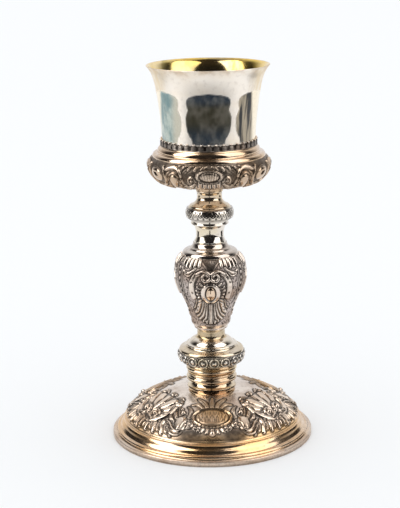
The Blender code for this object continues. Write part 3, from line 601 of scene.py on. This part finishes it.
def place(thing, node, slot, material):
    """Put a piece in the place of its node."""
    thing.data.materials.append(material)
    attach(thing, "root")
    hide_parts(node)


# Finishes


def linked(tree, value, socket):
    """Set a socket to a value, or link another socket to it."""
    if isinstance(value, bpy.types.NodeSocket):
        tree.links.new(value, socket)
    else:
        socket.default_value = value


def attribute(tree, name):
    node = tree.nodes.new("ShaderNodeAttribute")
    node.attribute_name = name
    return node.outputs["Fac"]


def math_node(tree, operation, a, b=0.0, clamp=False):
    node = tree.nodes.new("ShaderNodeMath")
    node.operation = operation
    node.use_clamp = clamp
    linked(tree, a, node.inputs[0])
    linked(tree, b, node.inputs[1])
    return node.outputs[0]


def spread(tree, value, low, high, to_low=0.0, to_high=1.0):
    """Map a value from one range to another, smoothly and within its limits."""
    node = tree.nodes.new("ShaderNodeMapRange")
    node.interpolation_type = "SMOOTHSTEP"
    linked(tree, value, node.inputs["Value"])
    for name, number in (("From Min", low), ("From Max", high), ("To Min", to_low), ("To Max", to_high)):
        node.inputs[name].default_value = number
    return node.outputs["Result"]


# Places of the colour sockets of a mix node
MIX_A = 6
MIX_B = 7
MIX_RESULT = 2


def mixed(tree, share, a, b):
    """A colour between two others."""
    node = tree.nodes.new("ShaderNodeMix")
    node.data_type = "RGBA"
    linked(tree, share, node.inputs["Factor"])
    linked(tree, a, node.inputs[MIX_A])
    linked(tree, b, node.inputs[MIX_B])
    return node.outputs[MIX_RESULT]


def coordinates(tree, kind="Object"):
    """X, Y and Z of a place on the object, or of a direction in the world."""
    parts = tree.nodes.new("ShaderNodeSeparateXYZ")
    tree.links.new(tree.nodes.new("ShaderNodeTexCoord").outputs[kind], parts.inputs[0])
    return parts.outputs


def noise(tree, size, detail=3.0, stretch=(1.0, 1.0, 1.0), seed=0.0):
    """Noise with clouds of about a size in millimetres."""
    place_node = tree.nodes.new("ShaderNodeTexCoord")
    mapping = tree.nodes.new("ShaderNodeMapping")
    mapping.inputs["Scale"].default_value = [1.0 / (size * MM * s) for s in stretch]
    mapping.inputs["Location"].default_value = (seed, 2.0 * seed, 3.0 * seed)
    tree.links.new(place_node.outputs["Object"], mapping.inputs["Vector"])
    node = tree.nodes.new("ShaderNodeTexNoise")
    node.inputs["Scale"].default_value = 1.0
    node.inputs["Detail"].default_value = detail
    tree.links.new(mapping.outputs["Vector"], node.inputs["Vector"])
    return node.outputs["Fac"]


# Colours of the metals and of what darkens them: stains, oxide, and the painted shade and painted dark
# reflection that share the oxide's colour
OXIDE_AND_PAINTED_SHADE = (0.014, 0.010, 0.008, 1.0)
BROWN = (0.22, 0.13, 0.085, 1.0)
WARM = (0.86, 0.75, 0.65, 1.0)
DULL = (0.64, 0.55, 0.5, 1.0)
PALE = (0.82, 0.75, 0.67, 1.0)
SATIN = (0.97, 0.895, 0.8, 1.0)
PINKISH = (0.44, 0.3, 0.21, 1.0)
STRAW = (0.8, 0.67, 0.42, 1.0)
CREAM = (0.82, 0.7, 0.54, 1.0)
RUSSET = (0.5, 0.33, 0.2, 1.0)
GILT = (0.82, 0.5, 0.22, 1.0)
PALE_GILT = (0.83, 0.6, 0.32, 1.0)
ROSE_GILT = (0.84, 0.7, 0.5, 1.0)
YELLOW_GILT = (0.95, 0.66, 0.16, 1.0)


def metal(name, colour, dull, stain, gilt_colour, roughness, stain_share, bump, shields=None):
    """Worn metal: dull where matted, stained in clouds, gilt as the surface says, dark with oxide in its
    recesses and with painted shade and painted dark reflection where the surface says.
    """
    material = bpy.data.materials.new(name)
    material.use_nodes = True
    tree = material.node_tree
    shader = tree.nodes["Principled BSDF"]
    shader.inputs["Metallic"].default_value = 1.0
    dark = attribute(tree, "dark")
    gilt = attribute(tree, "gilt")
    matte = attribute(tree, "matte")
    polish = attribute(tree, "polish")
    clouds = noise(tree, 24.0, 4.0, (1.0, 1.0, 0.7), 1.3)
    specks = noise(tree, 3.2, 5.0, seed=4.1)
    body = mixed(tree, matte, colour, dull)
    worn = math_node(tree, "SUBTRACT", 1.0, math_node(tree, "MULTIPLY", polish, 0.5))
    worn = math_node(tree, "MULTIPLY", worn, spread(tree, clouds, 0.4, 0.68, 0.0, stain_share))
    body = mixed(tree, worn, body, stain)
    if shields is not None:
        # On the cup: painted side sheen, a stain under the lip, and the shields' painted reflections over the
        # silver
        body = shields(tree, cup_side_sheen_and_lip_stain(tree, body))
    patches = spread(tree, noise(tree, 38.0, 3.0, (1.0, 1.0, 0.4), 6.4), 0.3, 0.62, 0.45, 1.0)
    body = mixed(tree, math_node(tree, "MULTIPLY", gilt, patches), body, gilt_colour)
    punched = spread(tree, noise(tree, 1.4, 2.0, seed=5.5), 0.48, 0.62, 0.0, 0.8)
    dark = math_node(tree, "MAXIMUM", dark, math_node(tree, "MULTIPLY", punched, matte))
    # Near black where the surface is dark: oxide, and in places painted shade and painted dark reflection
    oxide_and_painted_shade = math_node(tree, "MULTIPLY", dark, spread(tree, specks, 0.25, 0.6, 0.85, 1.0), clamp=True)
    tarnish = math_node(tree, "MULTIPLY", spread(tree, specks, 0.5, 0.75), 0.45 * stain_share)
    body = mixed(tree, tarnish, body, BROWN)
    body = mixed(tree, oxide_and_painted_shade, body, OXIDE_AND_PAINTED_SHADE)
    tree.links.new(body, shader.inputs["Base Color"])
    if shields is not None:
        film = spread(tree, polish, 0.0, 1.0, 0.35, 0.25)
        film = math_node(tree, "MULTIPLY", film, math_node(tree, "SUBTRACT", 1.0, gilt))
        tree.links.new(math_node(tree, "SUBTRACT", 1.0, film), shader.inputs["Metallic"])
    rough = spread(tree, clouds, 0.3, 0.7, 0.8 * roughness, 1.25 * roughness)
    smooth = math_node(tree, "SUBTRACT", 1.0, math_node(tree, "MULTIPLY", polish, 0.65))
    rough = math_node(tree, "MULTIPLY", rough, smooth)
    rough = math_node(tree, "ADD", rough, math_node(tree, "MULTIPLY", matte, 0.2))
    rough = math_node(tree, "ADD", rough, math_node(tree, "MULTIPLY", oxide_and_painted_shade, 0.3), clamp=True)
    tree.links.new(rough, shader.inputs["Roughness"])
    grain = noise(tree, 0.7, 2.0, seed=2.2)
    hand = noise(tree, 6.0, 2.0, seed=7.7)
    height = math_node(tree, "MULTIPLY", grain, math_node(tree, "MULTIPLY", matte, 0.12 * MM))
    height = math_node(tree, "ADD", height, math_node(tree, "MULTIPLY", hand, bump * MM))
    node = tree.nodes.new("ShaderNodeBump")
    node.inputs["Distance"].default_value = 1.0
    tree.links.new(height, node.inputs["Height"])
    tree.links.new(node.outputs["Normal"], shader.inputs["Normal"])
    return material


def shield_painted_reflection_and_tarnish(tree, silver):
    """Polished shields painted with the reflections they show: bluish above and below, olive between, teal at
    -X and brown at +X, cream at the outer edges, all over cloudy tarnish.
    """
    across, _, up = coordinates(tree)
    clouds = noise(tree, 10.0, 4.0, (0.8, 0.8, 1.2), 9.0)
    cloudy = spread(tree, clouds, 0.38, 0.62)
    # Painted reflection of the dark room: dark bluish and olive, banded by height, mottled by cloudy tarnish
    cool = mixed(tree, cloudy, (0.085, 0.12, 0.16, 1.0), (0.36, 0.37, 0.36, 1.0))
    olive = mixed(tree, cloudy, (0.14, 0.13, 0.085, 1.0), (0.37, 0.34, 0.27, 1.0))
    middle = math_node(tree, "SUBTRACT", spread(tree, up, 0.226, 0.24), spread(tree, up, 0.247, 0.254))
    body = mixed(tree, middle, cool, olive)
    # Painted reflections at the sides: cream at the outer edges, teal towards -X and brown streaks towards +X
    edge = (1.0, 0.88, 0.68, 1.0)
    teal = mixed(tree, cloudy, (0.2, 0.3, 0.3, 1.0), (0.5, 0.56, 0.5, 1.0))
    left = mixed(tree, spread(tree, across, -0.0275, -0.022), teal, (0.56, 0.53, 0.43, 1.0))
    left = mixed(tree, spread(tree, across, -0.0345, -0.0325), edge, left)
    body = mixed(tree, spread(tree, across, -0.018, -0.016), left, body)
    streaks = noise(tree, 3.0, 2.0, (1.0, 1.0, 30.0), 3.3)
    brown = mixed(tree, spread(tree, streaks, 0.4, 0.62), (0.045, 0.045, 0.045, 1.0), (0.4, 0.34, 0.25, 1.0))
    right = mixed(tree, spread(tree, across, 0.0295, 0.0315), brown, edge)
    body = mixed(tree, spread(tree, across, 0.016, 0.018), body, right)
    return mixed(tree, attribute(tree, "polish"), silver, body)


def cup_side_sheen_and_lip_stain(tree, silver):
    """A painted yellow sheen on the satin silver at its left and right sides, in soft upright streaks, and a
    brownish stain in blots under the lip.
    """
    across, _, up = coordinates(tree)
    # Painted sheen: yellow towards the left and right, by X alone
    aside = spread(tree, math_node(tree, "ABSOLUTE", across), 0.026, 0.037)
    streaks = noise(tree, 2.6, 3.0, (1.0, 1.0, 18.0), 8.2)
    share = math_node(tree, "MULTIPLY", aside, spread(tree, streaks, 0.3, 0.65, 0.35, 0.95))
    body = mixed(tree, share, silver, (0.84, 0.68, 0.44, 1.0))
    # Stain under the lip
    blots = spread(tree, noise(tree, 9.0, 4.0, seed=2.9), 0.42, 0.66, 0.1, 0.8)
    rim = math_node(tree, "MULTIPLY", spread(tree, up, 0.2685, 0.2745), blots)
    return mixed(tree, rim, body, (0.66, 0.5, 0.34, 1.0))


chased_silver = metal("chased_silver", WARM, DULL, PINKISH, GILT, roughness=0.22, stain_share=0.7, bump=0.02)
polished_silver = metal("polished_silver", PALE, DULL, STRAW, PALE_GILT, roughness=0.12, stain_share=0.6,
                        bump=0.01)
silver_gilt = metal("silver_gilt", ROSE_GILT, DULL, RUSSET, GILT, roughness=0.11, stain_share=0.75, bump=0.01)
satin_silver = metal("satin_silver", SATIN, DULL, CREAM, YELLOW_GILT, roughness=0.38, stain_share=0.35,
                     bump=0.006, shields=shield_painted_reflection_and_tarnish)


# Pieces, from the foot up


def foot():
    """Hollow dome on a moulded rim."""
    rim = [
        (74.35, 0.0, 0.0),
        (74.35, 2.8, 0.0),
        (73.55, 3.5, 0.5),
        (71.15, 4.2, 0.0),
        (69.35, 6.4, 0.7),
        (67.65, 8.9, -0.1),
        (67.25, 9.4, 0.0),
        (65.25, 12.7, -0.25),
        (65.35, 13.7, 0.9),
        (64.35, 14.3, 0.0),
    ]
    dome = trace([
        (64.35, 14.3, 0.0),
        (64.07, 15.98, 0.0),
        (57.75, 21.24, 0.17),
        (27.5, 35.02, 0.062),
    ], longest=CHASED_STEP)
    top = trace([(27.5, 35.02, 0.0), (17.2, 36.7, 0.04), (0.0, 36.7, 0.0)], longest=3.0)
    inside = trace([
        (0.0, 35.5, 0.0),
        (16.0, 35.5, 0.0),
        (26.3, 33.58, -0.04),
        (56.55, 19.8, -0.062),
        (62.91, 14.3, -0.17),
        (70.35, 1.72, 0.0),
        (70.35, 0.0, 0.0),
    ], longest=6.0)
    work = Relief(dome, PANEL, 120, 112)
    work.groove = 1.05
    chase_foot(work)
    # The gilding of the rim reaches a little way up between the leaves
    low = np.clip((9.0 - work.up) / 5.0, 0.0, 1.0)
    work.at_least("gilt", 0.9 * low * (work.height < 0.3))
    skin = Skin()
    skin.turned(trace(rim[:3]), RIM_COLUMNS, gilt=0.3, dark=0.1, matte=0.35)
    skin.turned(trace(rim[2:])[1:-1], RIM_COLUMNS, gilt=0.95, polish=0.45, dark=0.05)
    skin.chased(work)
    skin.turned(top[1:], COLUMNS, polish=1.0)
    skin.turned(inside, INNER_COLUMNS, matte=0.8)
    place(skin.made("foot_chased", closed=True), "foot", "chased_silver", chased_silver)


def ring_collar(base):
    """Three turned rings with grooves between them, on a flared base."""
    proportions = [
        (0.0, 0.0, 0.0),
        (18.2, 0.0, 0.0),
        (15.4, 2.9, -0.3),
        (15.2, 3.7, 0.0),
        (17.8, 4.3, 0.0),
        (18.2, 7.8, 0.45),
        (16.4, 8.4, 0.0),
        (17.6, 9.0, 0.0),
        (17.6, 10.6, 0.6),
        (15.6, 11.0, 0.0),
        (15.6, 11.5, -0.2),
        (18.2, 12.0, 0.0),
        (18.2, 14.6, 0.5),
        (17.6, 15.0, 0.0),
        (0.0, 15.0, 0.0),
    ]
    skin = Skin()
    skin.turned(trace(proportions, base), COLUMNS)
    place(skin.made("collar_rings"), "ring_collar", "silver_gilt", silver_gilt)


def stem_skin(base, below, work, above, shift=0):
    """A piece of the stem: stations, a chased band, and above it stations that each have a finish."""
    skin = Skin()
    skin.turned(trace(below, base)[:-1], COLUMNS)
    skin.chased(work, shift)
    for stations, finish in above:
        skin.turned(trace(stations, base)[1:], COLUMNS, **finish)
    return skin


def lower_knop(base):
    """Flat knop with a band of circles, a cone and a collar."""
    below = [(0.0, 0.0, 0.0), (18.4, 0.0, 0.0), (22.0, 3.1, -0.1)]
    band = [(22.0, 3.1, 0.0), (24.5, 8.3, 0.14), (24.0, 11.4, 0.1)]
    step = [(24.0, 11.4, 0.0), (23.4, 13.3, 0.2), (22.2, 13.8, 0.0), (21.8, 13.7, 0.0), (18.6, 15.8, -0.1)]
    cone = [(18.6, 15.8, 0.0), (18.2, 17.2, 0.6), (16.9, 17.3, 0.0), (12.2, 21.4, 0.22)]
    collar = [(12.2, 21.4, 0.0), (10.6, 21.9, 0.0), (10.3, 25.4, -0.12), (11.0, 28.5, -0.2), (0.0, 28.5, 0.0)]
    work = Relief(trace(band, base, CHASED_STEP), 10.0, 24, 28)
    chase_circles(work)
    above = [
        (step, {"gilt": 0.5, "dark": 0.15}),
        (cone, {"gilt": 0.15}),
        (collar, {"gilt": 1.0, "dark": 0.32}),
    ]
    skin = stem_skin(base, below, work, above, shift=12)
    place(skin.made("knop_with_circles"), "lower_knop", "polished_silver", polished_silver)


def baluster_knop(base):
    """Pear-shaped knop with cartouches."""
    below = [(0.0, 0.0, 0.0), (11.6, 0.0, 0.0), (12.4, 0.9, 0.4), (12.1, 1.5, 0.0), (14.4, 4.9, 0.15)]
    band = [
        (14.4, 4.9, 0.0),
        (20.5, 24.9, -0.123),
        (25.7, 39.4, 0.115),
        (25.3, 47.9, 0.02),
        (20.4, 56.2, 0.2),
    ]
    above = [
        (20.4, 56.2, 0.0),
        (20.4, 56.6, 0.0),
        (17.2, 59.6, 0.42),
        (15.6, 59.9, 0.0),
        (14.0, 61.6, 0.2),
        (12.2, 64.9, -0.15),
        (0.0, 64.9, 0.0),
    ]
    work = Relief(trace(band, base, CHASED_STEP), PANEL, 90, 160)
    chase_baluster(work)
    skin = stem_skin(base, below, work, [(above, {"dark": 0.25, "polish": 1.0})])
    place(skin.made("pear_knop"), "baluster_knop", "chased_silver", chased_silver)


def upper_stem(base):
    """Waist, small knop with crosses and neck."""
    below = [
        (0.0, 0.0, 0.0),
        (12.0, 0.0, 0.0),
        (10.2, 6.7, -0.2),
        (12.2, 12.8, -0.15),
        (13.4, 13.2, 0.0),
        (13.4, 14.8, 0.6),
        (13.0, 15.4, 0.0),
        (16.8, 18.2, -0.05),
    ]
    band = [(16.8, 18.2, 0.0), (17.6, 21.4, 0.12), (16.6, 25.4, 0.15)]
    above = [
        (16.6, 25.4, 0.0),
        (15.0, 26.2, 0.0),
        (13.4, 27.8, 0.3),
        (12.8, 28.0, 0.0),
        (9.1, 32.2, -0.2),
        (9.1, 36.8, 0.0),
        (9.3, 38.3, 0.7),
        (9.6, 39.7, 0.0),
        (0.0, 39.7, 0.0),
    ]
    work = Relief(trace(band, base, CHASED_STEP), 7.5, 15, 24)
    chase_crosses(work)
    skin = stem_skin(base, below, work, [(above, {"gilt": 0.6, "dark": 0.15})])
    place(skin.made("waist_and_small_knop"), "upper_stem", "polished_silver", polished_silver)


def calyx(base):
    """Bulging chased shell with two plain rings at its top."""
    under = [(0.0, 0.0, 0.0), (9.8, 0.0, 0.0), (30.96, 4.08, 0.05)]
    bulge = [(30.96, 4.08, 0.0), (43.6, 17.27, 0.3), (40.55, 23.24, 0.24)]
    rings_above = [
        (40.55, 23.24, 0.0),
        (40.77, 23.71, 0.0),
        (37.65, 26.69, 0.5),
        (36.8, 27.0, 0.0),
        (35.1, 30.93, 0.35),
        (35.1, 31.4, 0.0),
    ]
    inside = [
        (33.8, 31.4, 0.0),
        (33.8, 28.26, 0.0),
        (38.91, 21.98, -0.2),
        (42.4, 17.27, -0.2),
        (29.76, 5.91, -0.24),
        (9.8, 1.2, -0.05),
        (0.0, 1.2, 0.0),
    ]
    work = Relief(trace(bulge, base, CHASED_STEP), PANEL, 110, 74)
    work.groove = 0.9
    chase_calyx(work)
    skin = Skin()
    skin.turned(trace(under, base)[:-1], COLUMNS, polish=1.0)
    skin.chased(work)
    skin.turned(trace(rings_above, base)[1:], COLUMNS, gilt=0.6, polish=0.8, dark=0.12)
    skin.turned(trace(inside, base), INNER_COLUMNS, matte=0.5)
    place(skin.made("calyx_chased"), "calyx", "chased_silver", chased_silver)


# Teeth of the crest, and the radius of the bead on each
TEETH = 40
BEAD = 0.8


def crest_band(base):
    """Upright strip with tongues, its top edge cut into rounded teeth with a bead on each."""
    inner = 33.8
    outer = inner + 0.8
    tall = 4.8
    per_tooth = 16
    columns = TEETH * per_tooth
    angles = 360.0 * np.arange(columns) / columns
    tooth = np.abs(np.cos(math.pi * TEETH * angles / 360.0))
    edge = tall - 1.7 + 0.9 * tooth ** 0.5
    tongue = np.clip(tooth - 0.45, 0.0, 1.0) ** 0.5
    skin = Skin()
    skin.ring(angles, inner, base, {"dark": 0.9})
    skin.ring(angles, outer + 0.4, base, {"dark": 0.5})
    rows = 14
    for row in range(rows + 1):
        share = row / rows
        swell = math.sin(math.pi * min(1.0, 1.15 * share)) ** 0.5 if share < 0.87 else 0.0
        lift = 0.5 * tongue * swell + 0.3 * (share < 0.1)
        dark = np.clip(1.0 - 0.45 * tongue * swell, 0.0, 1.0) * (1.0 if share > 0.1 else 0.7)
        skin.ring(angles, outer + lift, base + share * edge, {"dark": dark})
    skin.ring(angles, inner, base + edge, {"dark": 0.8})
    skin.join(skin.first)
    skin.last = None
    for number in range(TEETH):
        turn = math.radians(360.0 * number / TEETH)
        bead(skin, (outer - 0.2) * math.sin(turn), -(outer - 0.2) * math.cos(turn), base + tall - BEAD)
    place(skin.made("crest_of_beads"), "crest_band", "chased_silver", chased_silver)


def bead(skin, x, y, z):
    """A small ball, added to a skin as a closed surface of its own."""
    columns = 12
    rings = 7
    skin.last = None
    for row in range(rings + 1):
        turn = math.pi * row / rings
        count = columns if 0 < row < rings else 1
        # Painted shade: the lower half of each bead is darker
        skin.ring(360.0 * np.arange(count) / count, BEAD * math.sin(turn), z - BEAD * math.cos(turn),
                  {"polish": 1.0, "dark": 0.6 * (row < 4)})
        skin.corners[-1] += np.array([x, y, 0.0])


# Shields on the cup: half of the outline, across and up from the middle of its foot
SHIELD = (
    (0.0, 0.0),
    (11.2, 0.2),
    (12.2, 4.2),
    (13.6, 5.6),
    (15.4, 9.4),
    (16.2, 14.0),
    (16.4, 19.0),
    (15.6, 21.8),
    (14.6, 24.2),
    (15.2, 26.5),
    (15.9, 29.0),
    (15.7, 31.5),
    (13.8, 33.6),
    (9.0, 35.0),
    (0.0, 36.0),
)
SHIELD_FOOT = 222.4


def shield_cover(across, up):
    """1 within a shield and 0 outside it, blended over its outline."""
    outline = np.array(SHIELD)
    apart = np.full(across.shape, np.inf)
    for start, end in zip(outline, outline[1:]):
        way = end - start
        share = ((across - start[0]) * way[0] + (up - start[1]) * way[1]) / way.dot(way)
        share = np.clip(share, 0.0, 1.0)
        x, y = across - start[0] - share * way[0], up - start[1] - share * way[1]
        apart = np.minimum(apart, np.hypot(x, y))
    inside = across < np.interp(up, outline[:, 1], outline[:, 0], -1.0, -1.0)
    return np.clip(0.5 + np.where(inside, apart, -apart) / 0.7, 0.0, 1.0)


def cup(base):
    """Round-bottomed cup with a flared lip, gilt inside."""
    straight_top = 222.8
    top = base + 87.2
    bowl = base + 24.0
    waist = (37.32, straight_top + 34.45)
    neck = (39.86, straight_top + 44.89)
    lip = 44.1
    quarter = math.tan(math.pi / 8.0)
    outside = trace([
        (0.0, base, 0.0),
        (10.0, base, 0.0),
        (33.5, bowl, quarter),
        (33.5, straight_top, 0.0),
        (*waist, -0.025),
        (*neck, -0.05),
        (lip, top - 0.4, -0.095),
        (lip - 0.3, top, 0.3),
    ], longest=0.8)
    inside = trace([
        (lip - 1.0, top - 0.2, 0.0),
        (neck[0] - 1.0, neck[1], 0.095),
        (waist[0] - 1.0, waist[1], 0.05),
        (32.5, straight_top, 0.025),
        (32.5, bowl, 0.0),
        (10.0, base + 1.0, -quarter),
        (0.0, base + 1.0, 0.0),
    ], longest=2.5)
    columns = 300
    angles = 360.0 * np.arange(columns) / columns
    offset = np.abs((angles + PANEL / 2.0) % PANEL - PANEL / 2.0)
    skin = Skin()
    for radius, height in outside:
        if radius > 0.0:
            across = np.radians(offset) * radius
            shield = shield_cover(across, np.full(columns, height - SHIELD_FOOT))
            skin.ring(angles, radius, height, {"polish": shield})
        else:
            skin.ring(np.zeros(1), radius, height, {})
    skin.turned(inside, 144, gilt=1.0, polish=1.0)
    place(skin.made("smooth_cup"), "cup", "satin_silver", satin_silver)


foot()
ring_collar(base=37.0)
lower_knop(base=52.3)
baluster_knop(base=81.1)
upper_stem(base=146.3)
calyx(base=186.3)
crest_band(base=218.0)
cup(base=187.8)

# Floor, light and camera


def plain_sheet(name, corners, colour):
    """A flat sheet of one colour for the studio."""
    mesh = bpy.data.meshes.new(name)
    mesh.from_pydata(corners, [], [range(4)])
    thing = bpy.data.objects.new(name, mesh)
    bpy.context.scene.collection.objects.link(thing)
    material = bpy.data.materials.new(name)
    material.use_nodes = True
    shader = material.node_tree.nodes["Principled BSDF"]
    shader.inputs["Base Color"].default_value = colour
    shader.inputs["Roughness"].default_value = 1.0
    shader.inputs["Specular IOR Level"].default_value = 0.1
    mesh.materials.append(material)
    return thing


def floor():
    """Plain pale table top that ends in front of the chalice, out of the picture."""
    side = 1.8
    corners = [(-side, -0.36, 0.0), (side, -0.36, 0.0), (side, 7.0, 0.0), (-side, 7.0, 0.0)]
    plain_sheet("floor", corners, (0.915, 0.925, 0.935, 1.0))


def dark_upright(name, start, end, tall):
    """A dark panel that stands on the table and shows in the metal alone."""
    corners = [(*start, 0.0), (*end, 0.0), (*end, tall), (*start, tall)]
    thing = plain_sheet(name, corners, (0.012, 0.011, 0.012, 1.0))
    thing.visible_camera = False
    thing.visible_diffuse = False
    thing.visible_shadow = False


# The studio stands a little turned from the front of the chalice
STUDIO_TURN = -4.0

# Softboxes: distance from the chalice's axis, height of their middles, and the height that they face
REACH = 0.9
HIGH = 0.72
AIM = 0.14


def softbox(name, turn, wide, tall, power):
    """An area light at an angle from the front, turned to the chalice, that shows in the metal alone."""
    light = bpy.data.lights.new(name, "AREA")
    light.shape = "RECTANGLE"
    light.size = wide
    light.size_y = tall
    light.energy = power
    thing = bpy.data.objects.new(name, light)
    bpy.context.scene.collection.objects.link(thing)
    side = math.radians(STUDIO_TURN + turn)
    thing.location = (REACH * math.sin(side), -REACH * math.cos(side), HIGH)
    tilt = math.atan2(REACH, HIGH - AIM)
    thing.rotation_euler = (tilt, 0.0, side)
    thing.visible_camera = False
    thing.visible_diffuse = False


def surroundings():
    """A pale sweep behind the chalice, and a dark room with a dark ceiling in front of it."""
    world = bpy.data.worlds.new("studio")
    bpy.context.scene.world = world
    world.use_nodes = True
    tree = world.node_tree
    tree.nodes.clear()
    across, back, up = coordinates(tree, "Generated")
    turn = math_node(tree, "ARCTAN2", across, math_node(tree, "MULTIPLY", back, -1.0))
    turn = math_node(tree, "ABSOLUTE", math_node(tree, "SUBTRACT", turn, math.radians(STUDIO_TURN)))
    behind = spread(tree, turn, math.radians(105.0), math.radians(150.0))
    around = mixed(tree, behind, (0.014, 0.013, 0.014, 1.0), (0.88, 0.9, 0.93, 1.0))
    aside = spread(tree, turn, math.radians(40.0), math.radians(80.0))
    above = mixed(tree, aside, (0.04, 0.032, 0.027, 1.0), (0.55, 0.53, 0.51, 1.0))
    above = mixed(tree, behind, above, (1.0, 1.0, 1.02, 1.0))
    shade = mixed(tree, spread(tree, up, 0.62, 0.84), around, above)
    path = tree.nodes.new("ShaderNodeLightPath")
    colour = mixed(tree, path.outputs["Is Glossy Ray"], (1.07, 1.08, 1.09, 1.0), shade)
    colour = mixed(tree, path.outputs["Is Camera Ray"], colour, (0.95, 0.96, 0.99, 1.0))
    background = tree.nodes.new("ShaderNodeBackground")
    tree.links.new(colour, background.inputs["Color"])
    output = tree.nodes.new("ShaderNodeOutputWorld")
    tree.links.new(background.outputs[0], output.inputs["Surface"])


def camera():
    """A long lens that looks down on the chalice a little."""
    data = bpy.data.cameras.new("camera")
    data.sensor_width = 36.0
    data.lens = 101.24
    thing = bpy.data.objects.new("camera", data)
    bpy.context.scene.collection.objects.link(thing)
    pitch = math.radians(13.913)
    pan = math.radians(0.42)
    roll = math.radians(0.8)
    turned = Matrix.Rotation(pan, 4, "Z") @ Matrix.Rotation(math.pi / 2.0 - pitch, 4, "X")
    thing.matrix_world = Matrix.Translation((0.0, -1.0146, 0.38779)) @ turned @ Matrix.Rotation(-roll, 4, "Z")
    bpy.context.scene.camera = thing


floor()
dark_upright("upright_in_front", (-0.012, -0.13), (0.008, -0.13), tall=0.15)
dark_upright("upright_left", (-0.32, 0.07), (-0.27, 0.2), tall=0.12)
dark_upright("upright_right", (0.32, 0.07), (0.27, 0.2), tall=0.12)
softbox("softbox_left", -63.0, wide=0.7, tall=1.5, power=11.5)
softbox("softbox_right", 67.0, wide=0.95, tall=1.5, power=9.2)
surroundings()
camera()
bpy.context.scene.view_settings.view_transform = "Standard"
